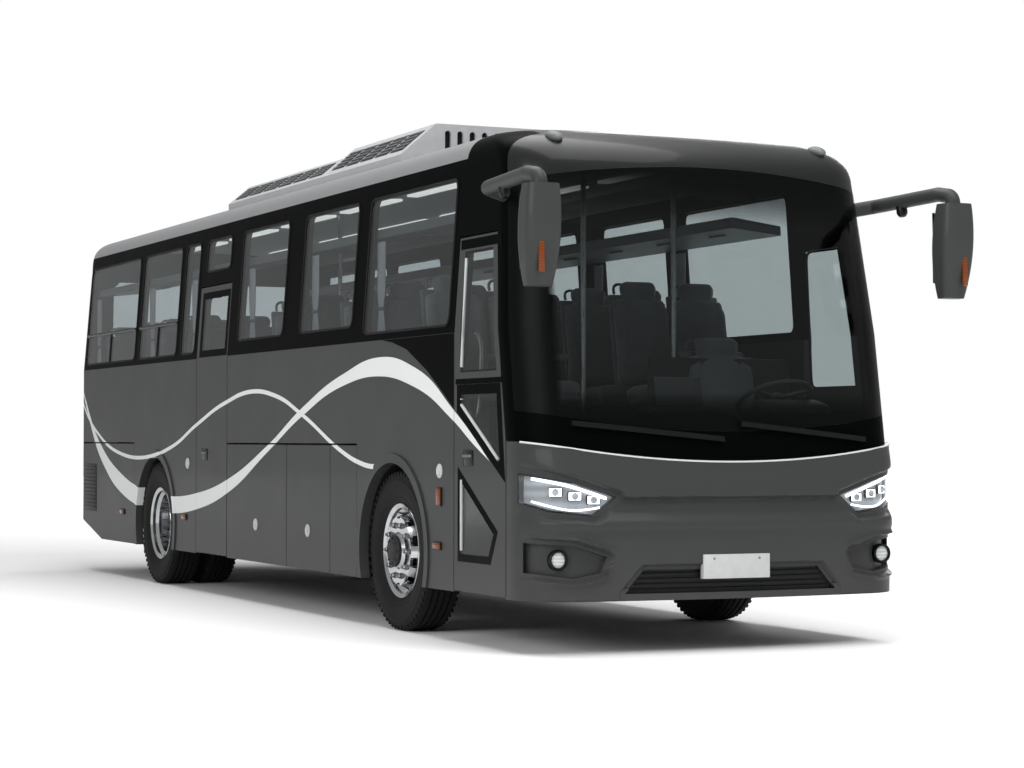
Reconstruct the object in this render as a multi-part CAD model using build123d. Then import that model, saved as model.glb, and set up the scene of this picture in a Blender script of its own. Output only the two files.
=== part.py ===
from build123d import *
import math
import os

# City bus. Millimetres, X forward, Y to the left, Z up, origin on the ground under the middle.
# The doors are on the right, which is the negative Y side.

# Driving dimensions: the body
BODY_WIDTH = 2500.0
NOSE_X = 5030.0
TAIL_X = -5380.0
WALL = 55.0
GLASS = 8.0
SKIRT_Z = 310.0
BELT_Z = 1200.0
SILL_Z = 1875.0
GLASS_LOW_Z = 1925.0
GLASS_HIGH_Z = 2820.0
ROOF_BREAK_Z = 2760.0
CANT_Z = 2930.0
TUMBLE_DEG = 4.07
RAKE_DEG = 9.5
TAIL_LEAN_DEG = 3.0
FRONT_BOW_R = 7200.0
FRONT_CORNER_R = 330.0
REAR_BOW_R = 9000.0
REAR_CORNER_R = 240.0
NOSE_STEP = 30.0
TAIL_SPLIT_X = -5110.0
TAIL_SKIRT_Z = 533.0
TAIL_RISE_X = -4420.0
ROOF_HALF = 940.0
CAP_X = 3850.0

# Driving dimensions: seams and clearances
GAP = 10.0
SEAM = 0.8
FIT = 0.4
PIN_FIT = 0.08

# Driving dimensions: the wheels
FRONT_AXLE_X = 2810.0
WHEELBASE = 5480.0
TYRE_R = 512.0
TYRE_W = 254.0
BEAD_R = 286.0
TYRE_INSET = 35.0
TWIN_PITCH = 320.0
KINGPIN_OFFSET = 120.0
ARCH_R = 565.0
FLARE_W = 60.0
FLARE_PROUD = 12.0
LINER_R = 580.0

# Driving dimensions: the cabin
FLOOR_Z = 1150.0
FLOOR_T = 50.0
PLATFORM_Z = 750.0
BAY_FLOOR_Z = 350.0
STEP_T = 30.0
SEAT_PITCH = 745.0
SEAT_W = 430.0

# Driving dimensions: the doors
FRONT_DOOR_X = 3826.0
PILLAR_FOOT_X = 4590.0
PILLAR_W = 110.0
DOOR_TOP_Z = 2445.0
EXIT_DOOR_REAR_X = -1480.0
EXIT_DOOR_FRONT_X = -680.0
POST_R = 24.0
POST_Y = 1128.0
ARM_W = 34.0

HALF = BODY_WIDTH / 2
REAR_AXLE_X = FRONT_AXLE_X - WHEELBASE
AXLE_Z = TYRE_R
BIG = 4000.0
RAKE = math.tan(math.radians(RAKE_DEG))
TUMBLE = math.tan(math.radians(TUMBLE_DEG))
TAIL_LEAN = math.tan(math.radians(TAIL_LEAN_DEG))

# Arcs of the front seen head on: lowest height of the arc at the middle, radius
FRONT_ARC_R = 6740.0
FASCIA_TOP_Z = 1100.0
SCREEN_LOW_Z = 1277.0
SCREEN_HIGH_Z = 2840.0

# Roof sections above the break: rise, nose setback, tail setback, loss of half width
ROOF_SECTIONS = [
    (0.0, 0.0, 0.0, 0.0),
    (80.0, 14.0, 4.0, 5.5),
    (170.0, 72.0, 15.0, 13.0),
    (250.0, 202.0, 55.0, 47.0),
    (300.0, 352.0, 130.0, 112.0),
    (330.0, 542.0, 270.0, 257.0),
    (340.0, 722.0, 420.0, 437.0),
]
ROOF_RISE = ROOF_SECTIONS[-1][0]
ROOF_Z = ROOF_BREAK_Z + ROOF_RISE

# Side windows: rear edge, front edge, lower edge, upper edge
FRAMED_LOW_Z = GLASS_LOW_Z + 60.0
RIGHT_WINDOWS = [
    (-5030.0, -3350.0, GLASS_LOW_Z, GLASS_HIGH_Z),
    (-3220.0, -2080.0, GLASS_LOW_Z, GLASS_HIGH_Z),
    (-1950.0, -1560.0, GLASS_LOW_Z, GLASS_HIGH_Z),
    (-1370.0, -740.0, DOOR_TOP_Z + 125.0, GLASS_HIGH_Z),
    (-450.0, 620.0, FRAMED_LOW_Z, GLASS_HIGH_Z),
    (980.0, 2050.0, FRAMED_LOW_Z, GLASS_HIGH_Z),
    (2270.0, 3730.0, GLASS_LOW_Z, GLASS_HIGH_Z),
]
LEFT_WINDOWS = [
    (-5030.0, -3350.0, GLASS_LOW_Z, GLASS_HIGH_Z),
    (-3220.0, -2080.0, GLASS_LOW_Z, GLASS_HIGH_Z),
    (-1950.0, -580.0, GLASS_LOW_Z, GLASS_HIGH_Z),
    (-450.0, 620.0, FRAMED_LOW_Z, GLASS_HIGH_Z),
    (980.0, 2050.0, FRAMED_LOW_Z, GLASS_HIGH_Z),
    (2270.0, 3730.0, GLASS_LOW_Z, GLASS_HIGH_Z),
]
WINDOW_CORNER_R = 55.0

parts = {}


def pillar_x(z):
    """Front edge of the front door, which leans back above the belt."""
    return PILLAR_FOOT_X - max(0.0, z - BELT_Z) * RAKE


def bow_end(tip, sign, half, bow_r, corner_r):
    """Tangent points of a bowed end: side point X, middle of the corner, start of the bow."""
    corner_y = half - corner_r
    bow_x = tip - sign * bow_r
    corner_x = bow_x + sign * math.sqrt((bow_r - corner_r) ** 2 - corner_y ** 2)
    reach = bow_r / (bow_r - corner_r)
    start = (bow_x + (corner_x - bow_x) * reach, corner_y * reach)
    middle = (math.atan2(start[1] - corner_y, sign * (start[0] - corner_x)) + math.pi / 2) / 2
    corner = (corner_x + sign * corner_r * math.cos(middle), corner_y + corner_r * math.sin(middle))
    return corner_x, corner, start


def plan_wire(z, nose, tail, half, inset):
    """Plan outline of the body at one height: straight sides, round corners, bowed ends."""
    side = half - inset
    nose -= inset
    tail += inset
    fx, fc, fb = bow_end(nose, 1, side, FRONT_BOW_R - inset, FRONT_CORNER_R - inset)
    rx, rc, rb = bow_end(tail, -1, side, REAR_BOW_R - inset, REAR_CORNER_R - inset)
    return Wire([
        Line((rx, -side, z), (fx, -side, z)),
        ThreePointArc((fx, -side, z), (fc[0], -fc[1], z), (fb[0], -fb[1], z)),
        ThreePointArc((fb[0], -fb[1], z), (nose, 0, z), (fb[0], fb[1], z)),
        ThreePointArc((fb[0], fb[1], z), (fc[0], fc[1], z), (fx, side, z)),
        Line((fx, side, z), (rx, side, z)),
        ThreePointArc((rx, side, z), (rc[0], rc[1], z), (rb[0], rb[1], z)),
        ThreePointArc((rb[0], rb[1], z), (tail, 0, z), (rb[0], -rb[1], z)),
        ThreePointArc((rb[0], -rb[1], z), (rc[0], -rc[1], z), (rx, -side, z)),
    ])


def upper_wire(z, inset):
    nose = NOSE_X - NOSE_STEP - (z - BELT_Z) * RAKE
    above = max(0.0, z - SILL_Z)
    return plan_wire(z, nose, TAIL_X + above * TAIL_LEAN, HALF - above * TUMBLE, inset)


def upper_block(inset):
    """Body above the belt: leaning sides and raked front, closed by the rounded roof."""
    walls = Solid.make_loft([upper_wire(z, inset) for z in (BELT_Z - 130.0, SILL_Z, ROOF_BREAK_Z)], True)
    above = ROOF_BREAK_Z - SILL_Z
    nose = NOSE_X - NOSE_STEP - (ROOF_BREAK_Z - BELT_Z) * RAKE
    tail = TAIL_X + above * TAIL_LEAN
    half = HALF - above * TUMBLE
    roof = Solid.make_loft([
        plan_wire(ROOF_BREAK_Z + rise * (1 - inset / ROOF_RISE), nose - back, tail + fore, half - loss, inset)
        for rise, back, fore, loss in ROOF_SECTIONS
    ])
    return walls + roof


def lower_block(inset):
    """Body below the belt: upright, with the nose a step ahead of the windscreen."""
    height = BELT_Z + 60.0 - SKIRT_Z
    return extrude(Face(plan_wire(SKIRT_Z, NOSE_X, TAIL_X, HALF, inset)), height, (0, 0, 1))


def box(x0, x1, y0, y1, z0, z1):
    return Pos((x0 + x1) / 2, (y0 + y1) / 2, (z0 + z1) / 2) * Box(x1 - x0, y1 - y0, z1 - z0)


def side_prism(points, y0, y1):
    """Prism across the bus from an outline seen from the side, points as (x, z)."""
    face = Face(Wire.make_polygon([(x, y0, z) for x, z in points], close=True))
    return extrude(face, y1 - y0, (0, 1, 0))


def front_prism(points, x0, x1):
    """Prism along the bus from an outline seen head on, points as (y, z)."""
    face = Face(Wire.make_polygon([(x0, y, z) for y, z in points], close=True))
    return extrude(face, x1 - x0, (1, 0, 0))


def rounded_prism(x0, x1, z0, z1, radius, y0, y1):
    plane = Plane(((x0 + x1) / 2, y0, (z0 + z1) / 2), (1, 0, 0), (0, 1, 0))
    return extrude(plane * RectangleRounded(x1 - x0, z1 - z0, radius), y1 - y0)


def cross_cylinder(x, z, radius, y0, y1):
    return Pos(x, (y0 + y1) / 2, z) * Rot(90, 0, 0) * Cylinder(radius, y1 - y0)


def post(x, y, z0, z1, radius):
    return Pos(x, y, (z0 + z1) / 2) * Cylinder(radius, z1 - z0)


def above_arc(z):
    """Everything above an arc that sags to height z at the middle of the front."""
    return Pos(NOSE_X, 0, z + FRONT_ARC_R) * Rot(0, 90, 0) * Cylinder(FRONT_ARC_R, BIG)


def below_arc(z):
    """Everything below an arc that rises to height z at the middle of the front."""
    return Pos(NOSE_X, 0, z - FRONT_ARC_R) * Rot(0, 90, 0) * Cylinder(FRONT_ARC_R, BIG)


def mirrored(shape):
    return mirror(shape, about=Plane.XZ)


def pair(shape):
    return [shape, mirrored(shape)]


def both(shapes):
    """A node's solids, and their mirror images on the other side."""
    return list(shapes) + [mirrored(shape) for shape in shapes]


def add(name, shapes):
    solids = []
    for shape in shapes if isinstance(shapes, list) else [shapes]:
        solids += shape.solids()
    parts[name] = solids[0] if len(solids) == 1 else Compound(solids)


# Body shells that the panels are cut from

UPPER_OUT = upper_block(0)
UPPER = UPPER_OUT - upper_block(WALL)
UPPER_SKIN = UPPER_OUT - upper_block(GLASS)
LOWER_OUT = lower_block(0)
LOWER = LOWER_OUT - lower_block(WALL)
RIGHT_SLAB = box(TAIL_SPLIT_X, pillar_x(0), -HALF, -HALF + WALL, SKIRT_Z, SILL_Z)
RIGHT_UPPER = UPPER & box(TAIL_SPLIT_X, NOSE_X, -HALF, -ROOF_HALF, SILL_Z, CANT_Z)
RIGHT_SKIN = UPPER_SKIN & box(TAIL_SPLIT_X, NOSE_X, -HALF, -ROOF_HALF, SILL_Z, CANT_Z)
RIGHT_SIDE = (-HALF - 50.0, -ROOF_HALF)


def ahead_of_pillar(offset):
    """Everything ahead of the front door's leaning front edge, moved forward by an offset."""
    top = ROOF_Z + 100.0
    return side_prism([
        (pillar_x(0) + offset, SKIRT_Z - 50.0),
        (pillar_x(BELT_Z) + offset, BELT_Z),
        (pillar_x(top) + offset, top),
        (NOSE_X + 200.0, top),
        (NOSE_X + 200.0, SKIRT_Z - 50.0),
    ], -HALF - 100.0, HALF + 100.0)


# Passenger doors: both are slabs that swing out on two arms and stay parallel to the side

def front_door_outline(grow):
    return [
        (FRONT_DOOR_X - grow, SKIRT_Z + GAP - grow),
        (pillar_x(0) - GAP + grow, SKIRT_Z + GAP - grow),
        (pillar_x(BELT_Z) - GAP + grow, BELT_Z),
        (pillar_x(DOOR_TOP_Z) - GAP + grow, DOOR_TOP_Z + grow),
        (FRONT_DOOR_X - grow, DOOR_TOP_Z + grow),
    ]


def exit_door_outline(grow):
    return [
        (EXIT_DOOR_REAR_X - grow, SKIRT_Z + GAP - grow),
        (EXIT_DOOR_FRONT_X + grow, SKIRT_Z + GAP - grow),
        (EXIT_DOOR_FRONT_X + grow, DOOR_TOP_Z + grow),
        (EXIT_DOOR_REAR_X - grow, DOOR_TOP_Z + grow),
    ]


def door_panes(shrink):
    """Window outlines of the front door: tall pane, slanted middle pane, low corner pane."""
    x0 = FRONT_DOOR_X + 90.0 + shrink
    return [
        [(x0, 1630.0 + shrink), (pillar_x(1630.0) - 70.0 - shrink, 1630.0 + shrink),
         (pillar_x(2360.0) - 70.0 - shrink, 2360.0 - shrink), (x0, 2360.0 - shrink)],
        [(x0, 1420.0 + shrink * 1.2), (pillar_x(1080.0) - 70.0 - shrink, 1070.0 + shrink * 1.2),
         (pillar_x(1560.0) - 70.0 - shrink, 1560.0 - shrink), (x0, 1560.0 - shrink)],
        [(x0, 530.0 + shrink), (FRONT_DOOR_X + 520.0 - shrink, 530.0 + shrink),
         (FRONT_DOOR_X + 600.0 - 1.6 * shrink, 680.0), (x0, 1000.0 - shrink * 1.2)],
    ]


EXIT_PANE = (EXIT_DOOR_REAR_X + 110.0, EXIT_DOOR_FRONT_X - 60.0, GLASS_LOW_Z, 2360.0)


def door_slab(outline):
    """Door leaf: upright below the sill, leaning with the side above it."""
    prism = side_prism(outline, *RIGHT_SIDE)
    return (RIGHT_SLAB & prism) + (RIGHT_UPPER & prism)


LOWER_SKIN = box(TAIL_SPLIT_X, NOSE_X, -HALF, -HALF + GLASS, SKIRT_Z, SILL_Z)


def thin_slab(prism):
    """Glass that fills a window outline, flush with the outside and bent where it passes the sill."""
    sheets = [sheet for sheet in (RIGHT_SKIN & prism, LOWER_SKIN & prism) if sheet is not None]
    return (sheets[0] + sheets[1] if len(sheets) == 2 else sheets[0]).solids()


def arm_set(post_x, length, levels, foot_z, head_z):
    """Upright post with two arms that reach back to the door's brackets."""
    shape = post(post_x, -POST_Y, foot_z, head_z, POST_R)
    for z in levels:
        shape += box(post_x - length, post_x, -POST_Y - ARM_W / 2, -POST_Y + ARM_W / 2, z - 20.0, z + 20.0)
        shape += post(post_x - length, -POST_Y, z - 20.0, z + 20.0, ARM_W / 2 + 6.0)
    return shape


def bracket(x, z):
    """Bracket on the inside of a door leaf: a lug below the arm with a pin up through its eye."""
    lean = max(0.0, z - SILL_Z) * TUMBLE
    lug = box(x - 30.0, x + 30.0, -HALF + WALL + lean - 4.0, -POST_Y + 25.0, z - 50.0, z - 26.0)
    return lug + post(x, -POST_Y, z - 50.0, z + 30.0, 9.0)


def arm_eyes(post_x, length, levels):
    return [post(post_x - length, -POST_Y, z - 60.0, z + 60.0, 9.0 + PIN_FIT) for z in levels]


FRONT_POST_X = 4250.0
FRONT_ARM = 370.0
EXIT_POST_X = EXIT_DOOR_FRONT_X - 160.0
EXIT_ARM = 480.0
ARM_LEVELS = (760.0, 2415.0)
TREAD_Z = BAY_FLOOR_Z + 50.0
POST_FOOT_Z = TREAD_Z + FIT
POST_HEAD_Z = DOOR_TOP_Z - 5.0

front_leaf = door_slab(front_door_outline(0))
for points in door_panes(0):
    front_leaf -= side_prism(points, *RIGHT_SIDE)
exit_leaf = door_slab(exit_door_outline(0)) - rounded_prism(*EXIT_PANE, WINDOW_CORNER_R, *RIGHT_SIDE)
for z in ARM_LEVELS:
    front_leaf += bracket(FRONT_POST_X - FRONT_ARM, z)
    exit_leaf += bracket(EXIT_POST_X - EXIT_ARM, z)
add("front_door", front_leaf)
add("exit_door", exit_leaf)
add("front_door_glass", [s for p in door_panes(FIT) for s in thin_slab(side_prism(p, *RIGHT_SIDE))])
pane = (EXIT_PANE[0] + FIT, EXIT_PANE[1] - FIT, EXIT_PANE[2] + FIT, EXIT_PANE[3] - FIT)
add("exit_door_glass", thin_slab(rounded_prism(*pane, WINDOW_CORNER_R - FIT, *RIGHT_SIDE)))
for name, post_x, length in (("front_door_arms", FRONT_POST_X, FRONT_ARM), ("exit_door_arms",
    EXIT_POST_X, EXIT_ARM)):
    arms = arm_set(post_x, length, ARM_LEVELS, POST_FOOT_Z, POST_HEAD_Z)
    for eye in arm_eyes(post_x, length, ARM_LEVELS):
        arms -= eye
    add(name, arms)

# Window bands of the two sides

PANEL_CORNER = 220.0


def band_outline():
    """Window band seen from the side, with its front upper corner cut to a rounded run."""
    top_x = pillar_x(CANT_Z) - SEAM
    return [
        (TAIL_SPLIT_X + SEAM, SILL_Z),
        (pillar_x(SILL_Z) - SEAM, SILL_Z),
        (pillar_x(CANT_Z - PANEL_CORNER) - SEAM, CANT_Z - PANEL_CORNER),
        (pillar_x(CANT_Z - 90.0) - SEAM - 45.0, CANT_Z - 90.0),
        (top_x - 110.0, CANT_Z - 25.0),
        (top_x - PANEL_CORNER, CANT_Z),
        (TAIL_SPLIT_X + SEAM, CANT_Z),
    ]


DRIVER_PANE = (FRONT_DOOR_X + 30.0, 1560.0, GLASS_HIGH_Z - 380.0)


def driver_pane(shrink):
    x0, z0, z1 = DRIVER_PANE
    return side_prism([
        (x0 + shrink, z0 + shrink), (pillar_x(z0) - 70.0 - shrink, z0 + shrink),
        (pillar_x(z1) - 70.0 - shrink, z1 - shrink), (x0 + shrink, z1 - shrink),
    ], *RIGHT_SIDE)


def window_prisms(windows, shrink):
    return [
        rounded_prism(x0 + shrink, x1 - shrink, z0 + shrink, z1 - shrink, WINDOW_CORNER_R - shrink,
            *RIGHT_SIDE)
        for x0, x1, z0, z1 in windows
    ]


band = RIGHT_UPPER & side_prism(band_outline(), *RIGHT_SIDE)
right_band = band - window_prisms(RIGHT_WINDOWS, 0)
right_band -= side_prism(front_door_outline(GAP), *RIGHT_SIDE)
right_band -= side_prism(exit_door_outline(GAP), *RIGHT_SIDE)
left_band = band - window_prisms(LEFT_WINDOWS, 0) - driver_pane(0)
add("right_window_band", right_band)
add("left_window_band", mirrored(left_band))
panes = [s for p in window_prisms(RIGHT_WINDOWS, FIT) for s in thin_slab(p)]
for prism in window_prisms(LEFT_WINDOWS, FIT) + [driver_pane(FIT)]:
    panes += [mirrored(s) for s in thin_slab(prism)]

# Panels below the sill, luggage doors and service doors

LUGGAGE_SPLITS = (EXIT_DOOR_FRONT_X + GAP, 740.0, 1650.0, 2170.0)
ENGINE_DOOR_FRONT_X = -3330.0
SLAB_Y = (-HALF, -HALF + WALL)
HINGE_R = 9.0


def arch_cut(axle_x, radius):
    return cross_cylinder(axle_x, AXLE_Z, radius, -HALF - 100.0, -HALF + 200.0)


def flap(x0, x1, z0):
    """Top-hinged door in the lower side, with a round hinge bead along its upper edge."""
    leaf = box(x0 + GAP / 2, x1 - GAP / 2, *SLAB_Y, z0, BELT_Z - GAP - HINGE_R)
    return leaf + Pos((x0 + x1) / 2, -HALF + HINGE_R, BELT_Z - GAP - HINGE_R) * Rot(0, 90, 0) * Cylinder(
        HINGE_R, x1 - x0 - GAP)


tail_cut = side_prism([
    (TAIL_RISE_X, SKIRT_Z - 10.0),
    (TAIL_RISE_X, SKIRT_Z),
    (TAIL_X, TAIL_SKIRT_Z),
    (TAIL_X, SKIRT_Z - 10.0),
], -HALF - 100.0, HALF + 100.0)
waist_rear = box(TAIL_SPLIT_X + SEAM, EXIT_DOOR_REAR_X - GAP, *SLAB_Y, BELT_Z, SILL_Z)
waist_front = box(EXIT_DOOR_FRONT_X + GAP, FRONT_DOOR_X - GAP, *SLAB_Y, BELT_Z, SILL_Z)
quarter_rear = box(ENGINE_DOOR_FRONT_X, EXIT_DOOR_REAR_X - GAP, *SLAB_Y, SKIRT_Z, BELT_Z)
quarter_front = box(LUGGAGE_SPLITS[3], FRONT_DOOR_X - GAP, *SLAB_Y, SKIRT_Z, BELT_Z)
right_rear = waist_rear + quarter_rear - arch_cut(REAR_AXLE_X, ARCH_R)
right_front = waist_front + quarter_front - arch_cut(FRONT_AXLE_X, ARCH_R)
waist_left = box(TAIL_SPLIT_X + SEAM, pillar_x(BELT_Z) - SEAM, *SLAB_Y, BELT_Z, SILL_Z)
left_rear = box(ENGINE_DOOR_FRONT_X, LUGGAGE_SPLITS[0], *SLAB_Y, SKIRT_Z, BELT_Z)
left_front = box(LUGGAGE_SPLITS[2], pillar_x(0) - SEAM, *SLAB_Y, SKIRT_Z, BELT_Z)
left_side = waist_left + left_rear + left_front
for axle_x in (FRONT_AXLE_X, REAR_AXLE_X):
    left_side -= arch_cut(axle_x, ARCH_R)
left_side &= ahead_of_pillar(-BIG * 3) - ahead_of_pillar(-SEAM)
left_side -= driver_pane(0)
left_tail = box(TAIL_SPLIT_X + SEAM, ENGINE_DOOR_FRONT_X - GAP, *SLAB_Y, SKIRT_Z, BELT_Z - SEAM) - tail_cut
flares = []
for axle_x in (FRONT_AXLE_X, REAR_AXLE_X):
    ring = cross_cylinder(axle_x, AXLE_Z, ARCH_R + FLARE_W, -HALF - FLARE_PROUD, -HALF - FIT)
    ring -= arch_cut(axle_x, ARCH_R)
    flares.append(ring & box(axle_x - BIG, axle_x + BIG, -BIG, 0, SKIRT_Z, BIG))
add("lower_panels", [right_rear, right_front, mirrored(left_side), mirrored(left_tail)] + both(flares))

DOOR_LOW_Z = SKIRT_Z + SEAM
right_flaps = {
    "luggage_door_right_rear": flap(LUGGAGE_SPLITS[0], LUGGAGE_SPLITS[1], DOOR_LOW_Z),
    "luggage_door_right_front": flap(LUGGAGE_SPLITS[1], LUGGAGE_SPLITS[2], DOOR_LOW_Z),
    "service_door_right": flap(LUGGAGE_SPLITS[2], LUGGAGE_SPLITS[3], DOOR_LOW_Z),
    "engine_door_right": flap(TAIL_SPLIT_X + GAP, ENGINE_DOOR_FRONT_X, DOOR_LOW_Z) - tail_cut,
}
for name, leaf in right_flaps.items():
    add(name, leaf)
add("luggage_door_left_rear", mirrored(right_flaps["luggage_door_right_rear"]))
add("luggage_door_left_front", mirrored(right_flaps["luggage_door_right_front"]))

# Roof

def roof_region(x0, x1, y0, y1, z0):
    return UPPER & box(x0, x1, y0, y1, z0, ROOF_Z + 50.0)


add("roof_panel", roof_region(TAIL_SPLIT_X + SEAM, CAP_X - SEAM, -ROOF_HALF, ROOF_HALF, CANT_Z))
cove = roof_region(TAIL_SPLIT_X + SEAM, CAP_X - SEAM, -HALF, -ROOF_HALF - FIT, CANT_Z + FIT)
add("roof_coves", pair(cove))

# Front: corner pillars that run from the coves down to the fascia, roof cap, screen, fascia

top_x = pillar_x(CANT_Z)
PILLAR_LOW_Z = BELT_Z + 22.0
pillar_outline = side_prism([
    (CAP_X, CANT_Z + FIT),
    (top_x - PANEL_CORNER, CANT_Z + FIT),
    (top_x - 110.0, CANT_Z - 25.0 + FIT),
    (pillar_x(CANT_Z - 90.0) - 45.0, CANT_Z - 90.0),
    (pillar_x(CANT_Z - PANEL_CORNER), CANT_Z - PANEL_CORNER),
    (pillar_x(PILLAR_LOW_Z), PILLAR_LOW_Z),
    (pillar_x(PILLAR_LOW_Z) + PILLAR_W, PILLAR_LOW_Z),
    (pillar_x(ROOF_Z + 50.0) + PILLAR_W, ROOF_Z + 50.0),
    (CAP_X, ROOF_Z + 50.0),
], -HALF - 50.0, -ROOF_HALF)
corner_pillar = UPPER & pillar_outline
add("a_pillars", pair(corner_pillar))

front_face = ahead_of_pillar(PILLAR_W + SEAM)
cap_region = box(CAP_X, NOSE_X, -HALF, HALF, CANT_Z - 500.0, ROOF_Z + 50.0)
side_keep = side_prism([
    (CAP_X - 10.0, CANT_Z - 600.0),
    (pillar_x(CANT_Z - 600.0) + PILLAR_W + SEAM, CANT_Z - 600.0),
    (pillar_x(ROOF_Z + 60.0) + PILLAR_W + SEAM, ROOF_Z + 60.0),
    (CAP_X - 10.0, ROOF_Z + 60.0),
], -HALF - 50.0, -ROOF_HALF + SEAM)
front_cap = (UPPER & cap_region) - side_keep - mirrored(side_keep)
front_cap -= below_arc(SCREEN_HIGH_Z) & front_face
add("front_roof_cap", front_cap)
screen_region = front_face & above_arc(SCREEN_LOW_Z + SEAM) & below_arc(SCREEN_HIGH_Z - SEAM)
add("windscreen", UPPER_SKIN & screen_region)
add("wiper_panel", (UPPER & front_face & above_arc(FASCIA_TOP_Z + SEAM)) - above_arc(SCREEN_LOW_Z))

# Fascia with recesses for the headlamps, fog lamps and lower grille, outlines as (y, z)
LAMP_OUTLINE = [(745.0, 900.0), (1000.0, 985.0), (1260.0, 1040.0), (1260.0, 870.0), (1130.0, 818.0),
    (880.0, 790.0)]
FOG_OUTLINE = [(800.0, 560.0), (1000.0, 625.0), (1225.0, 640.0), (1225.0, 470.0), (1000.0, 440.0),
    (840.0, 470.0)]
GRILLE_OUTLINE = [(-580.0, 485.0), (580.0, 485.0), (700.0, 350.0), (-700.0, 350.0)]
LAMP_REAR_X = 4720.0
LAMP_SINK = 6.0
fascia = LOWER & box(pillar_x(0) + SEAM, NOSE_X + 50.0, -HALF, HALF, SKIRT_Z, BELT_Z + 50.0)
BROW_PROUD = 14.0
BROW_H = 46.0
LIP_H = 70.0
nose_ahead = Pos(BROW_PROUD, 0, 0) * LOWER_OUT - lower_block(WALL)
nose_ahead &= box(pillar_x(0) + SEAM, NOSE_X + 50.0, -HALF, HALF, SKIRT_Z, BELT_Z + 50.0)
fascia += nose_ahead & above_arc(FASCIA_TOP_Z - BROW_H)
fascia += nose_ahead & box(0, NOSE_X + 50.0, -HALF, HALF, SKIRT_Z, SKIRT_Z + LIP_H)
fascia -= above_arc(FASCIA_TOP_Z)
lamp_prism = front_prism([(-y, z) for y, z in LAMP_OUTLINE], LAMP_REAR_X, NOSE_X + 50.0)
fog_prism = front_prism([(-y, z) for y, z in FOG_OUTLINE], LAMP_REAR_X, NOSE_X + 50.0)
grille_prism = front_prism(GRILLE_OUTLINE, NOSE_X - 300.0, NOSE_X + 50.0)
fascia -= both([lamp_prism])
FOG_DEPTH = 40.0
fog_pocket = (LOWER_OUT - lower_block(FOG_DEPTH)) & fog_prism
fascia -= both([fog_pocket])
fascia -= grille_prism
add("front_fascia", fascia)
lamp_shell = lower_block(LAMP_SINK) - lower_block(WALL)
headlamp = lamp_shell & front_prism(
    [(-y, z) for y, z in [(753.0, 899.5), (1001.0, 980.0), (1259.0, 1034.0), (1259.0, 875.0), (1128.0, 822.5),
                          (883.0, 795.0)]], LAMP_REAR_X + FIT, NOSE_X)
add("headlamps", pair(headlamp))
GRILLE_SINK = 25.0
grille = (lower_block(GRILLE_SINK) - lower_block(WALL)) & front_prism(
    [(-578.0, 484.0), (578.0, 484.0), (697.0, 350.5), (-697.0, 350.5)], NOSE_X - 299.0, NOSE_X)
add("lower_grille", grille)

# Rear wall with its window and engine lid

REAR_WINDOW = (930.0, 1960.0, 2740.0)
LID = (770.0, 800.0, 1720.0)
LAMP_POCKET = (880.0, 1130.0, 900.0, 1560.0)


def rear_prism(half, z0, z1, radius, shrink):
    plane = Plane((TAIL_X - 60.0, 0, (z0 + z1) / 2), (0, 1, 0), (1, 0, 0))
    return extrude(plane * RectangleRounded(2 * (half - shrink), z1 - z0 - 2 * shrink, radius), 340.0)


rear_wall = UPPER & box(TAIL_X - 10.0, TAIL_SPLIT_X, -HALF, HALF, BELT_Z, ROOF_Z + 50.0)
rear_wall += LOWER & box(TAIL_X - 10.0, TAIL_SPLIT_X, -HALF, HALF, SKIRT_Z, BELT_Z)
rear_wall -= tail_cut
rear_wall -= rear_prism(*REAR_WINDOW, 90.0, 0)
rear_wall -= box(TAIL_X - 10.0, TAIL_SPLIT_X, -LID[0] - GAP, LID[0] + GAP, LID[1] - GAP, LID[2] + SEAM)
tail_lamp_prism = box(TAIL_X - 10.0, TAIL_SPLIT_X, LAMP_POCKET[0], LAMP_POCKET[1], LAMP_POCKET[2],
    LAMP_POCKET[3])
rear_wall -= both([tail_lamp_prism])
add("rear_wall", rear_wall)
lid_low = LOWER & box(TAIL_X - 10.0, TAIL_SPLIT_X, -LID[0], LID[0], LID[1], BELT_Z)
lid_high = UPPER & box(TAIL_X - 10.0, TAIL_SPLIT_X, -LID[0], LID[0], BELT_Z, LID[2])
add("engine_lid", lid_low + lid_high)
panes += (UPPER_SKIN & rear_prism(*REAR_WINDOW, 90.0 - FIT, FIT)).solids()
add("windows", panes)
LENS_SINK = 4.0
lamp_high = (upper_block(LENS_SINK) - upper_block(WALL)) & box(
    TAIL_X, TAIL_SPLIT_X, LAMP_POCKET[0] + FIT, LAMP_POCKET[1] - FIT, BELT_Z, LAMP_POCKET[3] - FIT)
lamp_low = (lower_block(LENS_SINK) - lower_block(WALL)) & box(
    TAIL_X, TAIL_SPLIT_X, LAMP_POCKET[0] + FIT, LAMP_POCKET[1] - FIT, LAMP_POCKET[2] + FIT, BELT_Z)
add("rear_lamps", pair(lamp_high + lamp_low))

# Roof air conditioner: a high front housing and a low rear one with bevelled sides

AC_HALF = 900.0
AC_BASE_Z = ROOF_Z + FIT
AC_SHOULDER_Z = AC_BASE_Z + 65.0


def ac_housing(x0, x1, top_half, top_z):
    shape = front_prism([
        (-AC_HALF, AC_BASE_Z), (AC_HALF, AC_BASE_Z), (AC_HALF, AC_SHOULDER_Z), (top_half, top_z),
        (-top_half, top_z), (-AC_HALF, AC_SHOULDER_Z),
    ], x0, x1)
    return shape


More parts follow.
